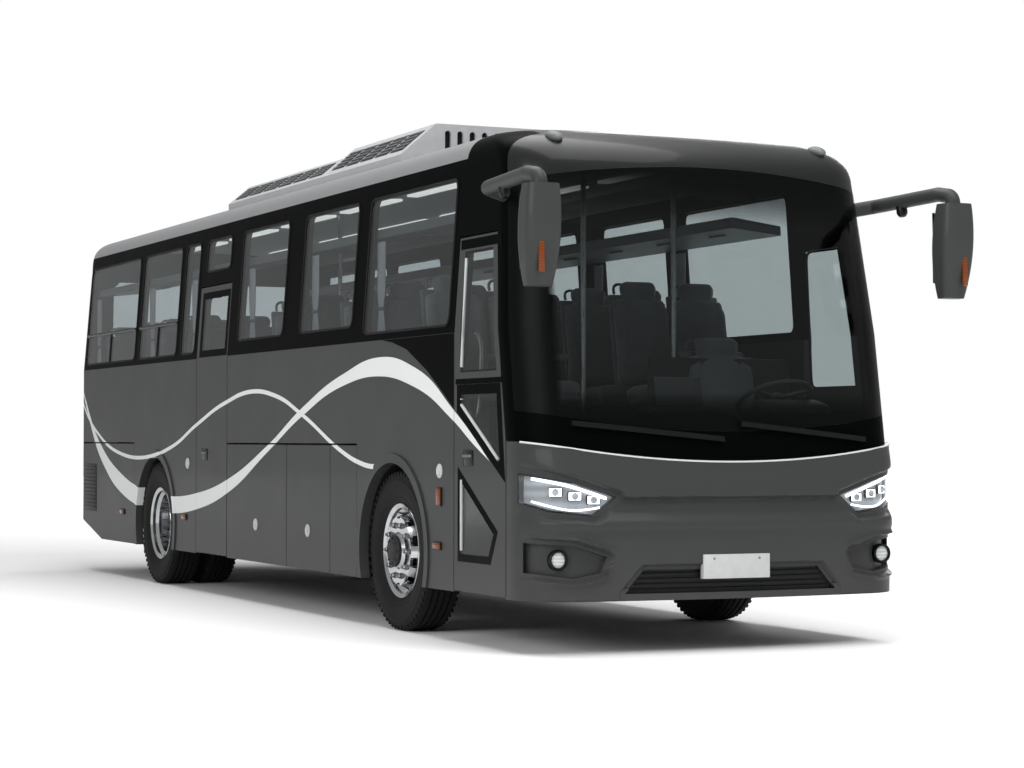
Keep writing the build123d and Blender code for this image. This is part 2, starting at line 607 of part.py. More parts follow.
AC_FRONT_X = 2070.0
AC_SPLIT_X = 500.0
AC_REAR_X = -1750.0
AC_FRONT_TOP_Z = ROOF_Z + 290.0
AC_REAR_TOP_Z = ROOF_Z + 215.0
ac_front = ac_housing(AC_SPLIT_X, AC_FRONT_X, 640.0, AC_FRONT_TOP_Z)
ac_rear = ac_housing(AC_REAR_X, AC_SPLIT_X, 720.0, AC_REAR_TOP_Z)
AC_SLOTS = 13
AC_SLOT_PITCH = 92.0
AC_SLOT_W = 44.0
AC_SLOT_DEPTH = 25.0
slot_low = AC_SHOULDER_Z + 20.0
slot_high = AC_FRONT_TOP_Z - 45.0
for k in range(AC_SLOTS):
    slot_y = (k - (AC_SLOTS - 1) / 2) * AC_SLOT_PITCH
    slot_face = Plane((AC_FRONT_X, slot_y, (slot_low + slot_high) / 2), (0, 0, 1), (-1, 0, 0))
    ac_front -= extrude(slot_face * SlotOverall(slot_high - slot_low, AC_SLOT_W), AC_SLOT_DEPTH)
add("roof_air_conditioner", ac_front + ac_rear)

# Mirrors: a head hung ahead of the corner on a bent tubular arm

ARM_TUBE_R = 44.0
MIRROR_PATH = [(4380.0, -1090.0, 2640.0), (4480.0, -1325.0, 2685.0), (5120.0, -1362.0, 2705.0),
               (5270.0, -1362.0, 2680.0), (5278.0, -1360.0, 2590.0)]
MIRROR_HEAD = (5270.0, -1360.0, 2350.0)
path = FilletPolyline(*MIRROR_PATH, radius=60.0)
arm = sweep(Plane(path @ 0, z_dir=path % 0) * Circle(ARM_TUBE_R), path=path)
head_sections = [
    Pos(5250.0, MIRROR_HEAD[1], 2070.0) * RectangleRounded(110.0, 150.0, 40.0),
    Pos(5265.0, MIRROR_HEAD[1], 2300.0) * RectangleRounded(190.0, 210.0, 60.0),
    Pos(5285.0, MIRROR_HEAD[1], 2632.0) * RectangleRounded(160.0, 190.0, 55.0),
]
head = loft(head_sections)
mirror_body = (arm + head) - upper_block(-FIT)
add("mirrors", pair(mirror_body))

# Small lamps: fog lamps, roof lamps, side markers

def side_lamp(x, z, width, height):
    return rounded_prism(x - width / 2, x + width / 2, z - height / 2, z + height / 2,
                         min(width, height) / 3, -HALF - 14.0, -HALF - FIT)


fog = Pos(4865.0, -1080.0, 545.0) * Rot(0, 90, 0) * Cylinder(45.0, 130.0)
fog &= lower_block(12.0) - lower_block(FOG_DEPTH - FIT)
roof_lamp = Pos(4445.0, -900.0, 2960.0) * Box(190.0, 110.0, 60.0)
roof_lamp = (roof_lamp + Pos(4445.0, -900.0, 2990.0) * Box(150.0, 90.0, 60.0)) - upper_block(-FIT)
MARKERS = [(3570.0, 575.0), (-1795.0, 592.0), (-3700.0, 583.0)]
lamps = [side_lamp(x, z, 110.0, 36.0) for x, z in MARKERS]
lamps.append(side_lamp(3600.0, 876.0, 60.0, 100.0))
add("small_lamps", both([fog, roof_lamp] + lamps))

# Wipers: two arms with blades that lie along the foot of the screen

def wiper(y0, y1):
    z0 = SCREEN_LOW_Z - 60.0
    z1 = SCREEN_LOW_Z + 30.0
    return front_prism([(y0, z0), (y0, z0 + 30.0), (y1, z1 + 30.0), (y1, z1)], NOSE_X - 300.0, NOSE_X + 20.0)


sweep_shell = upper_block(-38.0) - upper_block(-FIT)
add("wipers", [sweep_shell & wiper(-60.0, -1000.0), sweep_shell & wiper(940.0, 60.0)])

# Floor, steps and luggage bay

INNER = HALF - WALL - FIT
FLOOR_FRONT_X = FRONT_DOOR_X - 60.0
STEP_INNER_Y = -360.0
EXIT_WELL = (EXIT_DOOR_REAR_X + 20.0, EXIT_DOOR_FRONT_X - 20.0)
FRONT_WELL = (FLOOR_FRONT_X, pillar_x(0) - 20.0)


def stair(x0, x1, top_z, treads):
    """Folded stair that climbs inwards from the doorway, with its last riser under the floor's edge."""
    rise = (top_z - TREAD_Z) / treads
    run = (INNER - STEP_CLEAR + STEP_INNER_Y) / treads
    upper = []
    lower = []
    for step in range(treads):
        y = -INNER + STEP_CLEAR + run * step
        z = TREAD_Z + rise * step
        upper += [(y, z), (y + run, z)]
        lower += [(y + (STEP_T if step else 0.0), z - STEP_T), (y + run + STEP_T, z - STEP_T)]
    upper += [(STEP_INNER_Y, top_z - FIT), (STEP_INNER_Y + STEP_T, top_z - FIT)]
    return front_prism(upper + lower[::-1], x0, x1)


STEP_CLEAR = 20.0
PLATFORM_FRONT_X = 4840.0
front_stair = stair(*FRONT_WELL, PLATFORM_Z - FLOOR_T, 2)
exit_stair = stair(*EXIT_WELL, FLOOR_Z - FLOOR_T, 4)
aisle_step = box(FLOOR_FRONT_X + FIT, FLOOR_FRONT_X + 300.0, STEP_INNER_Y + STEP_T, -STEP_INNER_Y,
                 PLATFORM_Z + FIT, (PLATFORM_Z + FLOOR_Z) / 2)
deck = box(TAIL_SPLIT_X + 60.0, FLOOR_FRONT_X, -INNER, INNER, FLOOR_Z - FLOOR_T, FLOOR_Z)
deck -= box(EXIT_WELL[0] - 10.0, EXIT_WELL[1] + 10.0, -HALF, STEP_INNER_Y, 0, BIG)
deck += box(FLOOR_FRONT_X - STEP_T, FLOOR_FRONT_X, -INNER, INNER, PLATFORM_Z - FLOOR_T, FLOOR_Z)
platform = box(FLOOR_FRONT_X + FIT, PLATFORM_FRONT_X, -INNER, INNER, PLATFORM_Z - FLOOR_T, PLATFORM_Z)
platform -= box(FRONT_WELL[0], FRONT_WELL[1] + 10.0, -HALF, STEP_INNER_Y, 0, BIG)
platform &= lower_block(WALL + FIT)
bay = box(LUGGAGE_SPLITS[0] + 40.0, LUGGAGE_SPLITS[3] - 30.0, -INNER, INNER, BAY_FLOOR_Z - STEP_T,
    BAY_FLOOR_Z)
for x in (LUGGAGE_SPLITS[0] + 40.0, LUGGAGE_SPLITS[3] - 60.0):
    bay += box(x, x + STEP_T, -INNER, INNER, BAY_FLOOR_Z - STEP_T, FLOOR_Z - FLOOR_T - FIT)
add("floor_deck", [deck, platform])
add("stairs", [front_stair, exit_stair, aisle_step])
add("luggage_bay", bay)

# Chassis: front and rear frames with cross members, engine

RAIL_Y = 280.0
RAIL_W = 80.0
FRONT_RAIL_Z = (PLATFORM_Z - FLOOR_T - 180.0, PLATFORM_Z - FLOOR_T - FIT)
REAR_RAIL_Z = (740.0, 920.0)
MEMBER_W = 80.0


def frame(x0, x1, rail_z, members):
    """Two rails, tied by cross members that rise to carry the floor."""
    outer = RAIL_Y + RAIL_W / 2
    shape = box(x0, x1, -outer, outer, *rail_z) - box(x0, x1, -outer + RAIL_W, outer - RAIL_W, *rail_z)
    for x in members:
        shape += box(x - MEMBER_W / 2, x + MEMBER_W / 2, -outer, outer, rail_z[0] + 40.0,
            FLOOR_Z - FLOOR_T - FIT)
    return shape


chassis = [
    frame(LUGGAGE_SPLITS[3] + 30.0, PLATFORM_FRONT_X - 60.0, FRONT_RAIL_Z, (LUGGAGE_SPLITS[3] + 90.0,
        3500.0)),
    frame(TAIL_SPLIT_X + 40.0, EXIT_DOOR_FRONT_X - 60.0, REAR_RAIL_Z, (-800.0, -1900.0, -3500.0)),
]
TOW_BORE_R = 22.0
TOW_LUG = (100.0, RAIL_W, 40.0)
tow_x = PLATFORM_FRONT_X - 60.0
tow_z = FRONT_RAIL_Z[0] + 60.0
for side in (-1, 1):
    lug = Pos(tow_x + TOW_LUG[0] / 2 - 2.0, side * RAIL_Y, tow_z) * Box(*TOW_LUG)
    chassis[0] += lug - post(tow_x + TOW_LUG[0] / 2, side * RAIL_Y, 0, BIG, TOW_BORE_R)
add("chassis_frame", chassis)
ENGINE_HALF = RAIL_Y - RAIL_W / 2 - FIT
engine = fillet(box(-5000.0, -3950.0, -ENGINE_HALF, ENGINE_HALF, 480.0,
    1040.0).edges().filter_by(Axis.X), 60.0)
add("engine", engine)

# Wheels. Each is made about its own axle with the outer side towards positive Y

def ring(points):
    """Ring turned about the axle from an outline of (radius, y)."""
    face = Face(Wire.make_polygon([(r, y, 0) for r, y in points], close=True))
    return revolve(face, Axis.Y)


TREAD_HALF = TYRE_W / 2 - 22.0


def tyre(y):
    half = TYRE_W / 2
    wire = Wire([
        Line((BEAD_R + 4.0, -88.0, 0), (TYRE_R - 26.0, -88.0, 0)),
        Line((TYRE_R - 26.0, -88.0, 0), (TYRE_R - 26.0, 88.0, 0)),
        Line((TYRE_R - 26.0, 88.0, 0), (BEAD_R + 4.0, 88.0, 0)),
        Line((BEAD_R + 4.0, 88.0, 0), (BEAD_R + 24.0, 97.0, 0)),
        ThreePointArc((BEAD_R + 24.0, 97.0, 0), (TYRE_R - 105.0, half, 0), (TYRE_R - 30.0, half - 8.0, 0)),
        ThreePointArc((TYRE_R - 30.0, half - 8.0, 0), (TYRE_R - 8.0, half - 14.0, 0), (TYRE_R,
            TREAD_HALF - 8.0, 0)),
        Line((TYRE_R, TREAD_HALF - 8.0, 0), (TYRE_R, -TREAD_HALF + 8.0, 0)),
        ThreePointArc((TYRE_R, -TREAD_HALF + 8.0, 0), (TYRE_R - 8.0, -half + 14.0, 0), (TYRE_R - 30.0,
            -half + 8.0, 0)),
        ThreePointArc((TYRE_R - 30.0, -half + 8.0, 0), (TYRE_R - 105.0, -half, 0), (BEAD_R + 24.0, -97.0, 0)),
        Line((BEAD_R + 24.0, -97.0, 0), (BEAD_R + 4.0, -88.0, 0)),
    ])
    return Pos(0, y, 0) * revolve(Face(wire), Axis.Y)


RIM_T = 12.0
HUB_BORE_R = 42.0
DISC_R = 215.0
BOLT_R = 168.0


def rim_barrel(y):
    r = BEAD_R
    return Pos(0, y, 0) * ring([
        (r + 17.0, 104.0), (r + 20.0, 98.0), (r + 2.0, 88.0), (r + 2.0, 62.0), (r - 22.0, 40.0),
            (r - 22.0, -40.0),
        (r + 2.0, -62.0), (r + 2.0, -88.0), (r + 20.0, -98.0), (r + 17.0, -104.0), (r - 10.0, -92.0),
        (r - 10.0, -66.0), (r - 34.0, -44.0), (r - 34.0, 44.0), (r - 10.0, 66.0), (r - 10.0, 92.0),
    ])


def hand_holes(y0, y1):
    hole = SlotCenterToCenter(26.0, 44.0)
    plane = Plane((0, y0, 0), (1, 0, 0), (0, 1, 0))
    holes = [plane * Rot(0, 0, 36.0 * k) * Pos(0, 228.0) * hole for k in range(10)]
    return [extrude(h, y1 - y0) for h in holes]


def front_wheel():
    """Dished outwards: the disc domes out to the hub face."""
    shape = rim_barrel(0) + ring([
        (BEAD_R - 28.0, 36.0), (BEAD_R - 28.0, 12.0), (DISC_R + 12.0, 52.0), (DISC_R - 4.0, 100.0),
        (HUB_BORE_R + 70.0, 100.0), (HUB_BORE_R + 70.0, 118.0), (DISC_R + 2.0, 118.0), (DISC_R + 22.0, 66.0),
    ])
    for hole in hand_holes(0.0, 130.0):
        shape -= hole
    hub = ring([
        (HUB_BORE_R, -28.0), (HUB_BORE_R, 110.0), (0.0, 110.0), (0.0, 148.0), (88.0, 148.0), (100.0, 136.0),
        (120.0, 118.5), (HUB_BORE_R + 75.0, 101.0), (HUB_BORE_R + 60.0, -28.0),
    ])
    return shape + hub


def rear_wheel():
    """Twin wheels back to back: both discs meet at the hub flange between the tyres."""
    mid = -TWIN_PITCH / 2
    shape = rim_barrel(0) + rim_barrel(-TWIN_PITCH)
    shape += ring([
        (BEAD_R - 28.0, -36.0), (DISC_R + 18.0, mid + 60.0), (DISC_R, mid + 18.0), (HUB_BORE_R + 40.0,
            mid + 18.0),
        (HUB_BORE_R + 40.0, mid - 18.0), (DISC_R, mid - 18.0), (DISC_R + 18.0, mid - 60.0),
        (BEAD_R - 28.0, mid * 2 + 36.0), (BEAD_R - 28.0, mid * 2 + 14.0), (DISC_R + 2.0, mid - 66.0),
        (DISC_R + 2.0, mid + 66.0), (BEAD_R - 28.0, -14.0),
    ][:8] + [(BEAD_R - 28.0, mid * 2 + 16.0), (DISC_R + 34.0, mid - 40.0), (DISC_R + 34.0, mid + 40.0),
             (BEAD_R - 28.0, -16.0)])
    for hole in hand_holes(mid + 19.0, 0.0):
        shape -= hole
    hub = ring([
        (HUB_BORE_R, mid - 150.0), (HUB_BORE_R, mid + 40.0), (0.0, mid + 40.0), (0.0, mid + 150.0),
            (86.0, mid + 150.0),
        (104.0, mid + 130.0), (112.0, mid + 19.0), (112.0, mid - 150.0),
    ])
    return shape + hub


FRONT_WHEEL_Y = HALF - TYRE_INSET - TYRE_W / 2
REAR_WHEEL_Y = HALF - TYRE_INSET + 10.0 - TYRE_W / 2
front_place = Pos(FRONT_AXLE_X, FRONT_WHEEL_Y, AXLE_Z)
rear_place = Pos(REAR_AXLE_X, REAR_WHEEL_Y, AXLE_Z)
left_wheels = {
    "front_tyre": [front_place * tyre(0)],
    "front_wheel": [front_place * front_wheel()],
    "rear_tyres": [rear_place * tyre(0), rear_place * tyre(-TWIN_PITCH)],
    "rear_wheels": [rear_place * rear_wheel()],
}
for name, shapes in left_wheels.items():
    add(name + "_left", shapes)
    add(name + "_right", [mirrored(shape) for shape in shapes])

# Axles, steering knuckles, air springs

KINGPIN_Y = FRONT_WHEEL_Y - KINGPIN_OFFSET
KINGPIN_R = 22.0
BOSS_R = 46.0
BOSS_H = 130.0
LUG_H = 36.0
SPINDLE_R = HUB_BORE_R - PIN_FIT
beam = box(FRONT_AXLE_X - 45.0, FRONT_AXLE_X + 45.0, -KINGPIN_Y + 95.0, KINGPIN_Y - 95.0,
    AXLE_Z - 110.0, AXLE_Z - 20.0)
for side in (-1, 1):
    y = side * KINGPIN_Y
    beam += post(FRONT_AXLE_X, y, AXLE_Z - BOSS_H / 2, AXLE_Z + BOSS_H / 2, BOSS_R)
    beam += box(FRONT_AXLE_X - 32.0, FRONT_AXLE_X + 32.0, min(y, y - side * 140.0), max(y, y - side * 140.0),
                AXLE_Z - 60.0, AXLE_Z - 20.0)
    beam += post(FRONT_AXLE_X, y, AXLE_Z - BOSS_H / 2 - LUG_H, AXLE_Z + BOSS_H / 2 + LUG_H, KINGPIN_R)
SPRING_R = 125.0


def air_springs(axle_x, y, seat_z):
    spring = post(axle_x, y, seat_z + FIT, FLOOR_Z - FLOOR_T - FIT, SPRING_R)
    return both([spring])


add("front_axle", beam)
knuckle = None
for z0, z1 in ((BOSS_H / 2 + 2.0, BOSS_H / 2 + LUG_H), (-BOSS_H / 2 - LUG_H, -BOSS_H / 2 - 2.0)):
    lug = post(FRONT_AXLE_X, KINGPIN_Y, AXLE_Z + z0, AXLE_Z + z1, BOSS_R)
    lug += box(FRONT_AXLE_X - 40.0, FRONT_AXLE_X + 40.0, KINGPIN_Y, KINGPIN_Y + 84.0, AXLE_Z + z0,
        AXLE_Z + z1)
    lug -= post(FRONT_AXLE_X, KINGPIN_Y, AXLE_Z - BIG, AXLE_Z + BIG, KINGPIN_R + PIN_FIT)
    knuckle = lug if knuckle is None else knuckle + lug
knuckle += box(FRONT_AXLE_X - 40.0, FRONT_AXLE_X + 40.0, KINGPIN_Y + 54.0, KINGPIN_Y + 84.0,
               AXLE_Z - BOSS_H / 2 - LUG_H, AXLE_Z + BOSS_H / 2 + LUG_H)
knuckle += cross_cylinder(FRONT_AXLE_X, AXLE_Z, SPINDLE_R, KINGPIN_Y + 60.0, FRONT_WHEEL_Y + 100.0)
add("knuckle_left", knuckle)
add("knuckle_right", mirrored(knuckle))

TUBE_R = 78.0
rear_hub_y = REAR_WHEEL_Y - TWIN_PITCH / 2 - 150.0
rear_axle = cross_cylinder(REAR_AXLE_X, AXLE_Z, TUBE_R, -rear_hub_y + GAP, rear_hub_y - GAP)
rear_axle += cross_cylinder(REAR_AXLE_X, AXLE_Z, SPINDLE_R, -REAR_WHEEL_Y + TWIN_PITCH / 2 - 30.0,
                            REAR_WHEEL_Y - TWIN_PITCH / 2 + 30.0)
rear_axle += Pos(REAR_AXLE_X, 0, AXLE_Z) * Rot(0, 90, 0) * Cylinder(210.0, 190.0)
rear_axle += Pos(REAR_AXLE_X - 180.0, 0, AXLE_Z) * Rot(0, 90, 0) * Cylinder(70.0, 360.0)
add("rear_axle", rear_axle)
seat_front = box(FRONT_AXLE_X - 60.0, FRONT_AXLE_X + 60.0, -620.0, -480.0, AXLE_Z - 20.0 + FIT,
    AXLE_Z + 160.0)
spring_front = post(FRONT_AXLE_X, -600.0, AXLE_Z + 160.0 + FIT, FLOOR_Z - FLOOR_T - FIT, SPRING_R)
beam_rear = box(REAR_AXLE_X - 420.0, REAR_AXLE_X + 420.0, -560.0, -480.0, AXLE_Z + TUBE_R + FIT,
    AXLE_Z + TUBE_R + 80.0)
springs_rear = [post(REAR_AXLE_X + dx, -520.0, AXLE_Z + TUBE_R + 80.0 + FIT, FLOOR_Z - FLOOR_T - FIT, 110.0)
                for dx in (-300.0, 300.0)]
add("suspension", both([seat_front, spring_front, beam_rear] + springs_rear))

# Wheel housings: half-round liners over each wheel, with a flap behind the rear one

LINER_T = 12.0


def liner(axle_x, inner_y):
    shell = cross_cylinder(axle_x, AXLE_Z, LINER_R + LINER_T - 6.0, -INNER, -inner_y)
    shell -= cross_cylinder(axle_x, AXLE_Z, LINER_R - 6.0, -INNER, -inner_y)
    return shell & box(axle_x - BIG, axle_x + BIG, -BIG, 0, AXLE_Z - 60.0, FLOOR_Z - FLOOR_T - FIT)


flap_x = REAR_AXLE_X - LINER_R + 6.0
mud_flap = box(flap_x - 14.0, flap_x - 4.0, -1180.0, -640.0, 230.0, AXLE_Z - 60.0 - FIT)
add("wheel_liners", both([mud_flap, liner(FRONT_AXLE_X, 740.0), liner(REAR_AXLE_X, 636.0)]))

# Seats

SEAT_PROFILE = [(0.0, 400.0), (460.0, 430.0), (470.0, 330.0), (40.0, 290.0), (-60.0, 300.0), (-160.0, 700.0),
                (-240.0, 1130.0), (-200.0, 1160.0), (-130.0, 1140.0), (-90.0, 800.0)]


def seat(x, y, floor_z, width):
    body = side_prism([(x + px, floor_z + pz) for px, pz in SEAT_PROFILE], y - width / 2, y + width / 2)
    return body + box(x + 60.0, x + 320.0, y - 60.0, y + 60.0, floor_z + FIT, floor_z + 340.0)


RIGHT_ROWS = [3130.0 - SEAT_PITCH * k for k in range(6)]
REAR_ROWS = [-2200.0 - SEAT_PITCH * k for k in range(3)]
SEAT_Y = (SEAT_W / 2 + 240.0, SEAT_W * 1.5 + 250.0)
seats = []
for x in RIGHT_ROWS[:5] + REAR_ROWS:
    seats += [seat(x, -y, FLOOR_Z, SEAT_W) for y in SEAT_Y]
for x in RIGHT_ROWS + [-1400.0] + REAR_ROWS:
    seats += [seat(x, y, FLOOR_Z, SEAT_W) for y in SEAT_Y]
seats += [seat(-4700.0, y, FLOOR_Z, SEAT_W) for y in (-885.0, -442.0, 0.0, 442.0, 885.0)]
seats.append(seat(3860.0, 640.0, PLATFORM_Z, 520.0))
add("seats", seats)

# Driver's station, racks, rails, curtains

dash = side_prism([(4560.0, 1180.0), (4620.0, 1330.0), (4760.0, 1330.0), (4840.0, 1240.0), (4840.0,
    PLATFORM_Z + FIT),
                   (4640.0, PLATFORM_Z + FIT)], -1000.0, 1120.0)
dash &= upper_block(WALL + FIT)
wheel_place = Plane((4410.0, 640.0, 1480.0), (0, 1, 0), (-0.45, 0, 0.893))
steering = wheel_place * Torus(225.0, 16.0)
steering += wheel_place * Cylinder(60.0, 30.0)
for angle in (90.0, 210.0, 330.0):
    steering += wheel_place * Rot(0, 0, angle) * Pos(120.0, 0, 0) * Box(230.0, 34.0, 16.0)
steering += wheel_place * Pos(0, 0, -200.0) * Cylinder(30.0, 400.0)
steering -= dash
add("dashboard", dash)
add("steering_wheel", steering)

rack = front_prism([(-1170.0, 2560.0), (-780.0, 2600.0), (-760.0, 2650.0), (-780.0, 2670.0), (-1170.0,
    2620.0)],
                   -4950.0, 3650.0)
add("luggage_racks", pair(rack & upper_block(WALL + FIT)))
POLES = [(3700.0, -320.0), (3700.0, 320.0), (-640.0, -330.0), (-1560.0, -330.0)]
add("handrails", [post(x, y, FLOOR_Z + FIT, 3020.0, 17.0) for x, y in POLES])
CURTAIN_W = 150.0
curtains = []
for windows, side in ((RIGHT_WINDOWS, 1), (LEFT_WINDOWS, -1)):
    for x0, x1, z0, z1 in windows:
        if z0 > SILL_Z + 300.0:
            continue
        drape = box(x0 - 40.0, x0 - 40.0 + CURTAIN_W, -1147.2, -1115.0, z0 - 20.0, 2540.0)
        curtains.append(drape if side > 0 else mirrored(drape))
add("curtains", curtains)

os.makedirs("parts", exist_ok=True)
for name, shape in parts.items():
    export_step(shape, "parts/" + name + ".step")
print(len(parts), "nodes")
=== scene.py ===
# %% [markdown]
# A single-deck city bus, dressed in Blender around its solid model. Every new piece below is placed
# from that frame and rides on one of its bodies.

# %% Load the frame
import bpy
import bmesh
import math
from functools import cache
from mathutils import Matrix, Vector


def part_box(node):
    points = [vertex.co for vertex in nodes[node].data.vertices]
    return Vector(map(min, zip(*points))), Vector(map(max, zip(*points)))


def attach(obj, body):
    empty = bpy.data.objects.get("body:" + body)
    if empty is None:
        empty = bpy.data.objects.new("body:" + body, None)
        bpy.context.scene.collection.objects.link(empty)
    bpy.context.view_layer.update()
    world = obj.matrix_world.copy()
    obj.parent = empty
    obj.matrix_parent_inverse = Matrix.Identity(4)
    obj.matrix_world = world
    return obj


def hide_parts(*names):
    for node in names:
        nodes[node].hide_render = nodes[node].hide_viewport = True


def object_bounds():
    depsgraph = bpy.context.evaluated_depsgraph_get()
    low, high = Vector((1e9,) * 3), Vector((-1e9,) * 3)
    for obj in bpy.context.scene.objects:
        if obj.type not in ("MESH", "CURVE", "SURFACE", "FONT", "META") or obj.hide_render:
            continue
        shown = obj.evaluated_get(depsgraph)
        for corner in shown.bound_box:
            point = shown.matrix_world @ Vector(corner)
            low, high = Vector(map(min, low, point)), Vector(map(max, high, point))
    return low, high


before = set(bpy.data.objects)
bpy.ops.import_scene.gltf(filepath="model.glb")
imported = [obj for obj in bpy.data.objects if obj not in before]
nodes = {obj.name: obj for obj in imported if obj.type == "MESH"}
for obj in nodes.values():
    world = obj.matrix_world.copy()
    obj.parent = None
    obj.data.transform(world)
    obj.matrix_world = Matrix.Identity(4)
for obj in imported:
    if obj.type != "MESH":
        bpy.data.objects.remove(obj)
scene = bpy.context.scene
cad_low, cad_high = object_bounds()


def show(name, data):
    """A new object with that data, linked into the scene."""
    item = bpy.data.objects.new(name, data)
    scene.collection.objects.link(item)
    return item


def to_mesh(name, bm):
    """The mesh that was being built, finished and named."""
    mesh = bpy.data.meshes.new(name)
    bm.to_mesh(mesh)
    bm.free()
    return mesh


# %% [markdown]
# The camera stands low, off the right front corner, with a long lens, as the photograph was taken.
# Its direction is written as a heading and a small upward tilt, and turned into a rotation.

# %% Camera
CAMERA_PLACE = Vector((17.0935, -6.9067, 1.2293))
CAMERA_HEADING = math.radians(24.476)
CAMERA_TILT = math.radians(1.328)
CAMERA_ROLL = math.radians(0.058)
LENS_MM = 83.82
SENSOR_MM = 36.0
CLIP_END = 200.0

camera_data = bpy.data.cameras.new("camera")
camera_data.lens = LENS_MM
camera_data.sensor_width = SENSOR_MM
camera_data.clip_end = CLIP_END
camera = show("camera", camera_data)
look = Vector((-math.cos(CAMERA_HEADING) * math.cos(CAMERA_TILT),
               math.sin(CAMERA_HEADING) * math.cos(CAMERA_TILT), math.sin(CAMERA_TILT)))
turn = look.to_track_quat("-Z", "Y").to_matrix() @ Matrix.Rotation(CAMERA_ROLL, 3, "Z")
camera.rotation_mode = "QUATERNION"
camera.rotation_quaternion = turn.to_quaternion()
camera.location = CAMERA_PLACE
scene.camera = camera
scene.view_settings.view_transform = "Standard"
print("camera at", tuple(round(v, 2) for v in camera.location))

# %% [markdown]
# Colours are written as sRGB hex values, the way a paint chart gives them, and turned to linear here.
# One small function adds a shader node, and another sets inputs: to a value, to a socket, or to a node,
# which stands for the first output that it has in use.

# %% Colour and node helpers
WHITE = (1.0, 1.0, 1.0, 1.0)
RGBA = {"data_type": "RGBA"}
TIMES = {"data_type": "RGBA", "blend_type": "MULTIPLY"}


def linear(hex_colour):
    """sRGB hex text as a linear RGBA tuple."""
    channels = [int(hex_colour[i:i + 2], 16) / 255 for i in (1, 3, 5)]
    return tuple(c / 12.92 if c <= 0.04045 else ((c + 0.055) / 1.055) ** 2.4 for c in channels) + (1.0,)


def put(tree, node, inputs):
    """Sets a node's inputs, by name or number, to values, sockets or other nodes' first outputs."""
    for name, value in inputs.items():
        if isinstance(value, bpy.types.Node):
            value = next(socket for socket in value.outputs if socket.enabled)
        if isinstance(value, bpy.types.NodeSocket):
            tree.links.new(value, node.inputs[name])
        else:
            node.inputs[name].default_value = value


def add(tree, kind, inputs=None, **settings):
    """A shader node of that kind, with its own settings and its inputs."""
    node = tree.nodes.new("ShaderNode" + kind)
    for name, value in settings.items():
        setattr(node, name, value)
    put(tree, node, inputs or {})
    return node


def new_material(name):
    """An empty node material with its output, its Principled shader and its Object coordinates."""
    material = bpy.data.materials.new(name)
    material.use_nodes = True
    tree = material.node_tree
    tree.nodes.clear()
    shader = add(tree, "BsdfPrincipled")
    add(tree, "OutputMaterial", {"Surface": shader})
    return material, tree, shader, add(tree, "TexCoord").outputs["Object"]


def per_metre(size_mm):
    """Texture scale that gives a pattern about that size."""
    return 1000.0 / size_mm


print("helpers ready")

# %% [markdown]
# The studio is a wide white floor, a white world that the camera, glass and metal see, and big soft lamps.
# The world gives other rays a dimmer white, so dark paint stays dark and still shows soft reflections.
# The floor glows more and more towards its far edge, so that it fades into the white world.

# %% Floor, world and lamps
FLOOR_SIZE = 120.0
GLOW_FROM, GLOW_FULL = 8.0, 22.0
AMBIENT = 0.36
SHINE = 0.45

world = bpy.data.worlds.new("studio")
scene.world = world
world.use_nodes = True
tree = world.node_tree
tree.nodes.clear()
path = add(tree, "LightPath").outputs
seen = add(tree, "Math", {0: path["Is Camera Ray"], 1: path["Is Transmission Ray"]}, operation="MAXIMUM")
shine = add(tree, "Math", {0: path["Is Glossy Ray"], 1: SHINE}, operation="MULTIPLY")
clear = add(tree, "Math", {0: seen, 1: shine}, operation="MAXIMUM")
level = add(tree, "Math", {0: clear, 1: AMBIENT}, operation="MAXIMUM")
sky = add(tree, "Background", {"Color": WHITE, "Strength": level})
add(tree, "OutputWorld", {"Surface": sky})

bm = bmesh.new()
bmesh.ops.create_grid(bm, x_segments=1, y_segments=1, size=FLOOR_SIZE / 2)
floor_mesh = to_mesh("floor", bm)
floor_paint, tree, shader, place = new_material("studio_floor_matt")
far = add(tree, "VectorMath", {0: place}, operation="LENGTH")
fade = add(tree, "MapRange", {"Value": far, "From Min": GLOW_FROM, "From Max": GLOW_FULL, "To Max": 1.0})
put(tree, shader, {"Base Color": linear("#f4f4f4"), "Roughness": 0.9, "Specular IOR Level": 0.1,
                   "Emission Color": WHITE, "Emission Strength": fade})
floor_mesh.materials.append(floor_paint)
show("floor", floor_mesh)


def soft_lamp(name, place, target, size, power, glossy=True):
    """A rectangular area lamp that faces the target."""
    data = bpy.data.lights.new(name, "AREA")
    data.shape = "RECTANGLE"
    data.size, data.size_y = size
    data.energy = power
    lamp = show(name, data)
    lamp.location = place
    lamp.rotation_mode = "QUATERNION"
    lamp.rotation_quaternion = (Vector(target) - Vector(place)).to_track_quat("-Z", "Y")
    lamp.visible_glossy = glossy


soft_lamp("overhead", (3.0, 0.0, 11.0), (3.0, 0.0, 0.0), (17.0, 8.0), 1600.0)
soft_lamp("right_front", (9.0, -12.0, 6.0), (1.5, 0.0, 1.2), (8.0, 5.0), 700.0)
soft_lamp("front", (12.0, 2.0, 8.5), (4.8, 0.0, 0.9), (4.0, 3.0), 420.0, glossy=False)
soft_lamp("left_rear", (-10.0, 11.0, 7.0), (0.0, 0.0, 1.5), (8.0, 5.0), 700.0)

# %% [markdown]
# The wave stripes are painted on, so they belong to the paint and not to the mesh.
# A Float Curve turns the length along the bus into the height of an edge, and the paint is white between
# two such edges. The paint reads Object coordinates, so the wave runs on across panels, flaps and doors.

